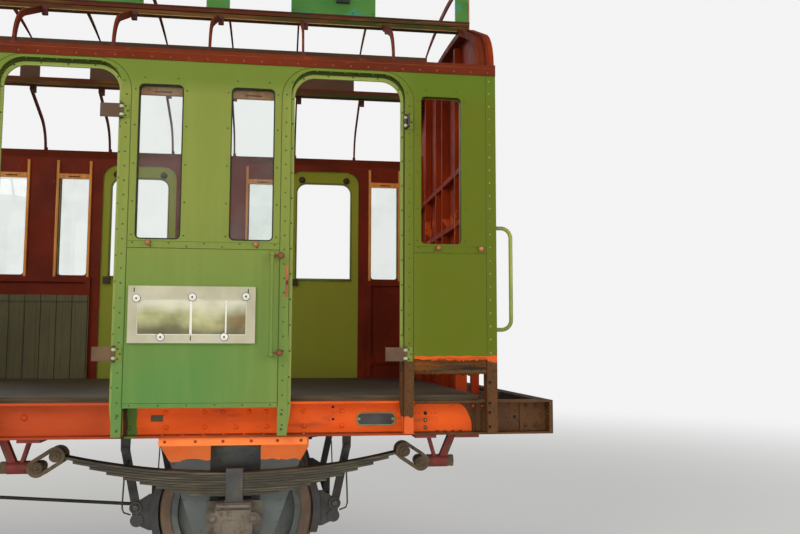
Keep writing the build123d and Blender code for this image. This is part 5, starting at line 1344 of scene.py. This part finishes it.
HOOK_PLATE = ((-0.11, 0.11, 1.162, 1.182), (-0.11, 0.11, 1.05, 1.07), (-0.11, -0.05, 1.07, 1.162),
              (0.05, 0.11, 1.07, 1.162))
for label, end in NAMED_ENDS:
    iron = bmesh.new()
    face = end * FRAME_END
    places = [(face, y, z) for y in evenly(-1.3, 1.3, 0.13) for z in (1.034, 1.198)]
    domes(iron, places, (end, 0, 0), HEADSTOCK_RIVET)
    for y0, y1, z0, z1 in HOOK_PLATE:
        slab(iron, face - 0.001, face + end * 0.008, y0, y1, z0, z1)
    for y in (-0.09, 0.09):
        for z in (1.068, 1.164):
            hexagon(iron, (face + end * 0.007, y, z), (end, 0, 0), 0.011, 0.012)
    piece(f"headstock_iron_{label}", iron, RUST, smooth=False, rounding=0.001)

# Rotten wood on the rail of the cut-away bay: a lumpy front with a flat back

RAIL_FOOT = 1.374
RAIL_HEIGHT = 0.086
RAIL_FRONT = -1.405
RAIL_BACK = -1.399
COLUMNS = 44
ROWS = 7
random.seed(7)
wood_rail = bmesh.new()
grid = []
for c in range(COLUMNS + 1):
    x = END_BAY[0] + (END_BAY[1] - END_BAY[0]) * c / COLUMNS
    sag = 0.004 * math.sin(9 * x) + random.uniform(-0.002, 0.002)
    column = []
    for r in range(ROWS + 1):
        share = r / ROWS
        z = RAIL_FOOT + sag + RAIL_HEIGHT * share + (random.uniform(-0.006, 0.006) if r in (0, ROWS) else 0)
        bulge = 0.011 * math.sin(math.pi * share) ** 0.5 + random.uniform(-0.002, 0.003)
        column.append(wood_rail.verts.new((x, RAIL_FRONT - bulge, z)))
    grid.append(column)
back = []
for column in grid:
    back.append([wood_rail.verts.new((vert.co.x, RAIL_BACK, vert.co.z)) for vert in (column[0], column[-1])])
for c in range(COLUMNS):
    here, after = grid[c], grid[c + 1]
    for r in range(ROWS):
        wood_rail.faces.new((here[r], after[r], after[r + 1], here[r + 1]))
    wood_rail.faces.new((back[c][0], back[c + 1][0], after[0], here[0]))
    wood_rail.faces.new((here[-1], after[-1], back[c + 1][1], back[c][1]))
    wood_rail.faces.new((back[c][1], back[c + 1][1], back[c + 1][0], back[c][0]))
for c in (0, COLUMNS):
    wood_rail.faces.new([back[c][0], *grid[c], back[c][1]])
piece("rotten_wood_rail", wood_rail, ROTTEN)

# Axle box covers and buckles

COVER_OUT = 0.117
COVER_Z = AXLE_Z + 0.037
COVER_RADIUS = 0.03
COVER_HALF = 0.068
COVER_CAP = ((0.015, -0.001), (0.019, 0.005), (0.019, 0.012), (0.013, 0.019), (0.004, 0.022))
boxes = bmesh.new()
for side, end in QUARTERS:
    x = end * AXLE_X
    front = side * (BOX_FRONT - 0.012)
    for dx in (-COVER_OUT, COVER_OUT):
        trace(boxes, circle(x + dx, COVER_Z, COVER_RADIUS, 24), front, 0.004, True)
    edge = rounded_path(x - COVER_HALF, x + COVER_HALF, AXLE_Z - 0.06, AXLE_Z + 0.03, COVER_RADIUS)
    trace(boxes, edge, front, 0.0035, True)
    slab(boxes, x - 0.095, x + 0.095, side * 1.19, side * 1.245, AXLE_Z + 0.1, AXLE_Z + 0.116)
    hexagon(boxes, (x + COVER_OUT, front, COVER_Z), (0, side, 0), 0.013, 0.014)
    turned(boxes, (x - COVER_OUT, front, COVER_Z), (0, side, 0), COVER_CAP, 14)
piece("axle_box_trim", boxes, BOX, rounding=0.0015)

# Far door trim: window beads and bumper pads

BEAD_HALF = 0.252
BEAD_TOP = 3.035
BEAD_FOOT = 2.14
BEAD_SILL_HALF = 0.258
DOOR_PANELS = ((1.26, 1.64), (1.7, 2.06))
DOOR_PANEL_HALF = 0.262
PAD = ((0.03, -0.001), (0.03, 0.007), (0.027, 0.009), (0.027, 0.016), (0.02, 0.02), (0.006, 0.02))
for number, door in enumerate(DOORS, start=1):
    beads = bmesh.new()
    for y in (DOOR_IN, DOOR_OUT):
        trace(beads, arch_path(door, BEAD_HALF, BEAD_FOOT, BEAD_TOP, LIGHT_CORNER + 0.007), y, 0.006)
        slab(beads, door - BEAD_SILL_HALF, door + BEAD_SILL_HALF, y - 0.008, y + 0.008, 2.126, 2.148)
    for z0, z1 in DOOR_PANELS:
        panel = rounded_path(door - DOOR_PANEL_HALF, door + DOOR_PANEL_HALF, z0, z1, 0.02)
        trace(beads, panel, DOOR_OUT, 0.004, True)
    piece(f"door_light_bead_{number}", beads, GREEN, f"door_{number}")
    pads = bmesh.new()
    for x in (door - 0.205, door + 0.205):
        turned(pads, (x, DOOR_IN, 3.062), (0, -1, 0), PAD, 18)
    piece(f"door_bumpers_{number}", pads, HINGE, f"door_{number}")

# Stage: pale floor that fades into the background

BACKGROUND = 0.9
FLOOR_HALF = 40
floor_mesh = bmesh.new()
slab(floor_mesh, -FLOOR_HALF, FLOOR_HALF, -FLOOR_HALF, FLOOR_HALF, -0.05, 0.0)
mesh = bpy.data.meshes.new("stage_floor")
floor_mesh.to_mesh(mesh)
floor_mesh.free()
stage = bpy.data.objects.new("stage_floor", mesh)
bpy.context.scene.collection.objects.link(stage)
pale = Finish("stage_pale")
pale.set("Roughness", 0.95)
pale.set("Base Color", (226, 225, 222))
pale.set("Specular IOR Level", 0.05)
spread = pale.math("SQRT", pale.add(pale.both(pale.x, pale.x), pale.both(pale.y, pale.y)))
shown = pale.node("ShaderNodeLightPath").outputs["Is Camera Ray"]
glow = pale.node("ShaderNodeEmission", {"Strength": BACKGROUND})
blend = pale.node("ShaderNodeMixShader", {"Fac": pale.both(pale.range(spread, 6, 17, 0.25, 1.0), shown)})
pale.put(blend.inputs[1], pale.shader.outputs[0])
pale.put(blend.inputs[2], glow.outputs[0])
pale.put(pale.tree.nodes["Material Output"].inputs["Surface"], blend.outputs[0])
mesh.materials.append(pale.material)

# Lights and background


def area_light(name, place, target, size, power, colour=(1, 1, 1), height=None):
    """Soft studio light aimed at a point."""
    data = bpy.data.lights.new(name, "AREA")
    data.shape = "RECTANGLE"
    data.size = size
    data.size_y = height or size
    data.energy = power
    data.color = colour
    lamp = bpy.data.objects.new(name, data)
    bpy.context.scene.collection.objects.link(lamp)
    lamp.location = place
    aim = Vector(target) - Vector(place)
    lamp.rotation_euler = aim.to_track_quat("-Z", "Y").to_euler()
    lamp.visible_camera = False
    lamp.visible_transmission = False
    return lamp


area_light("key_light", (-5, -11, 8), (1.5, 0, 1.6), 6, 560, (1, 0.98, 0.95))
area_light("fill_light", (10, -8, 5), (2, 0, 1.5), 6, 300)
low_light = area_light("low_light", (2, -14, 1.3), (2.5, 0, 0.9), 9, 540, height=2.2)
low_light.visible_glossy = False
area_light("back_light", (-3, 10, 9), (0, 0, 1.5), 7, 560)

WORLD_LIGHT = 0.31
world = bpy.data.worlds.new("studio")
bpy.context.scene.world = world
world.use_nodes = True
tree = world.node_tree
background = tree.nodes["Background"]
path = tree.nodes.new("ShaderNodeLightPath")
seen = tree.nodes.new("ShaderNodeMath")
seen.operation = "MAXIMUM"
tree.links.new(path.outputs["Is Camera Ray"], seen.inputs[0])
tree.links.new(path.outputs["Is Transmission Ray"], seen.inputs[1])
level = tree.nodes.new("ShaderNodeMapRange")
level.inputs["To Min"].default_value = WORLD_LIGHT
level.inputs["To Max"].default_value = BACKGROUND
tree.links.new(seen.outputs[0], level.inputs["Value"])
tree.links.new(level.outputs[0], background.inputs["Strength"])
background.inputs["Color"].default_value = (1, 1, 1, 1)

# Camera fitted to the photograph: place, turn from +Y towards +X, tilt up and roll

CAMERA_PLACE = (2.9124, -6.2997, 1.5514)
CAMERA_YAW = math.radians(8.159)
CAMERA_PITCH = math.radians(5.275)
CAMERA_ROLL = math.radians(-0.159)
CAMERA_LENS = 37.58
camera_data = bpy.data.cameras.new("camera")
camera_data.lens = CAMERA_LENS
camera_data.sensor_width = 36
camera = bpy.data.objects.new("camera", camera_data)
bpy.context.scene.collection.objects.link(camera)
level_reach = math.cos(CAMERA_PITCH)
ahead_x = math.sin(CAMERA_YAW) * level_reach
ahead_y = math.cos(CAMERA_YAW) * level_reach
ahead = Vector((ahead_x, ahead_y, math.sin(CAMERA_PITCH)))
right = Vector((math.cos(CAMERA_YAW), -math.sin(CAMERA_YAW), 0))
up = right.cross(ahead)
level_x = right * math.cos(CAMERA_ROLL) - up * math.sin(CAMERA_ROLL)
level_y = right * math.sin(CAMERA_ROLL) + up * math.cos(CAMERA_ROLL)
axes = Matrix((level_x, level_y, -ahead)).transposed().to_4x4()
camera.matrix_world = Matrix.Translation(CAMERA_PLACE) @ axes
camera_data.clip_end = 200
bpy.context.scene.camera = camera
bpy.context.scene.view_settings.view_transform = "Standard"
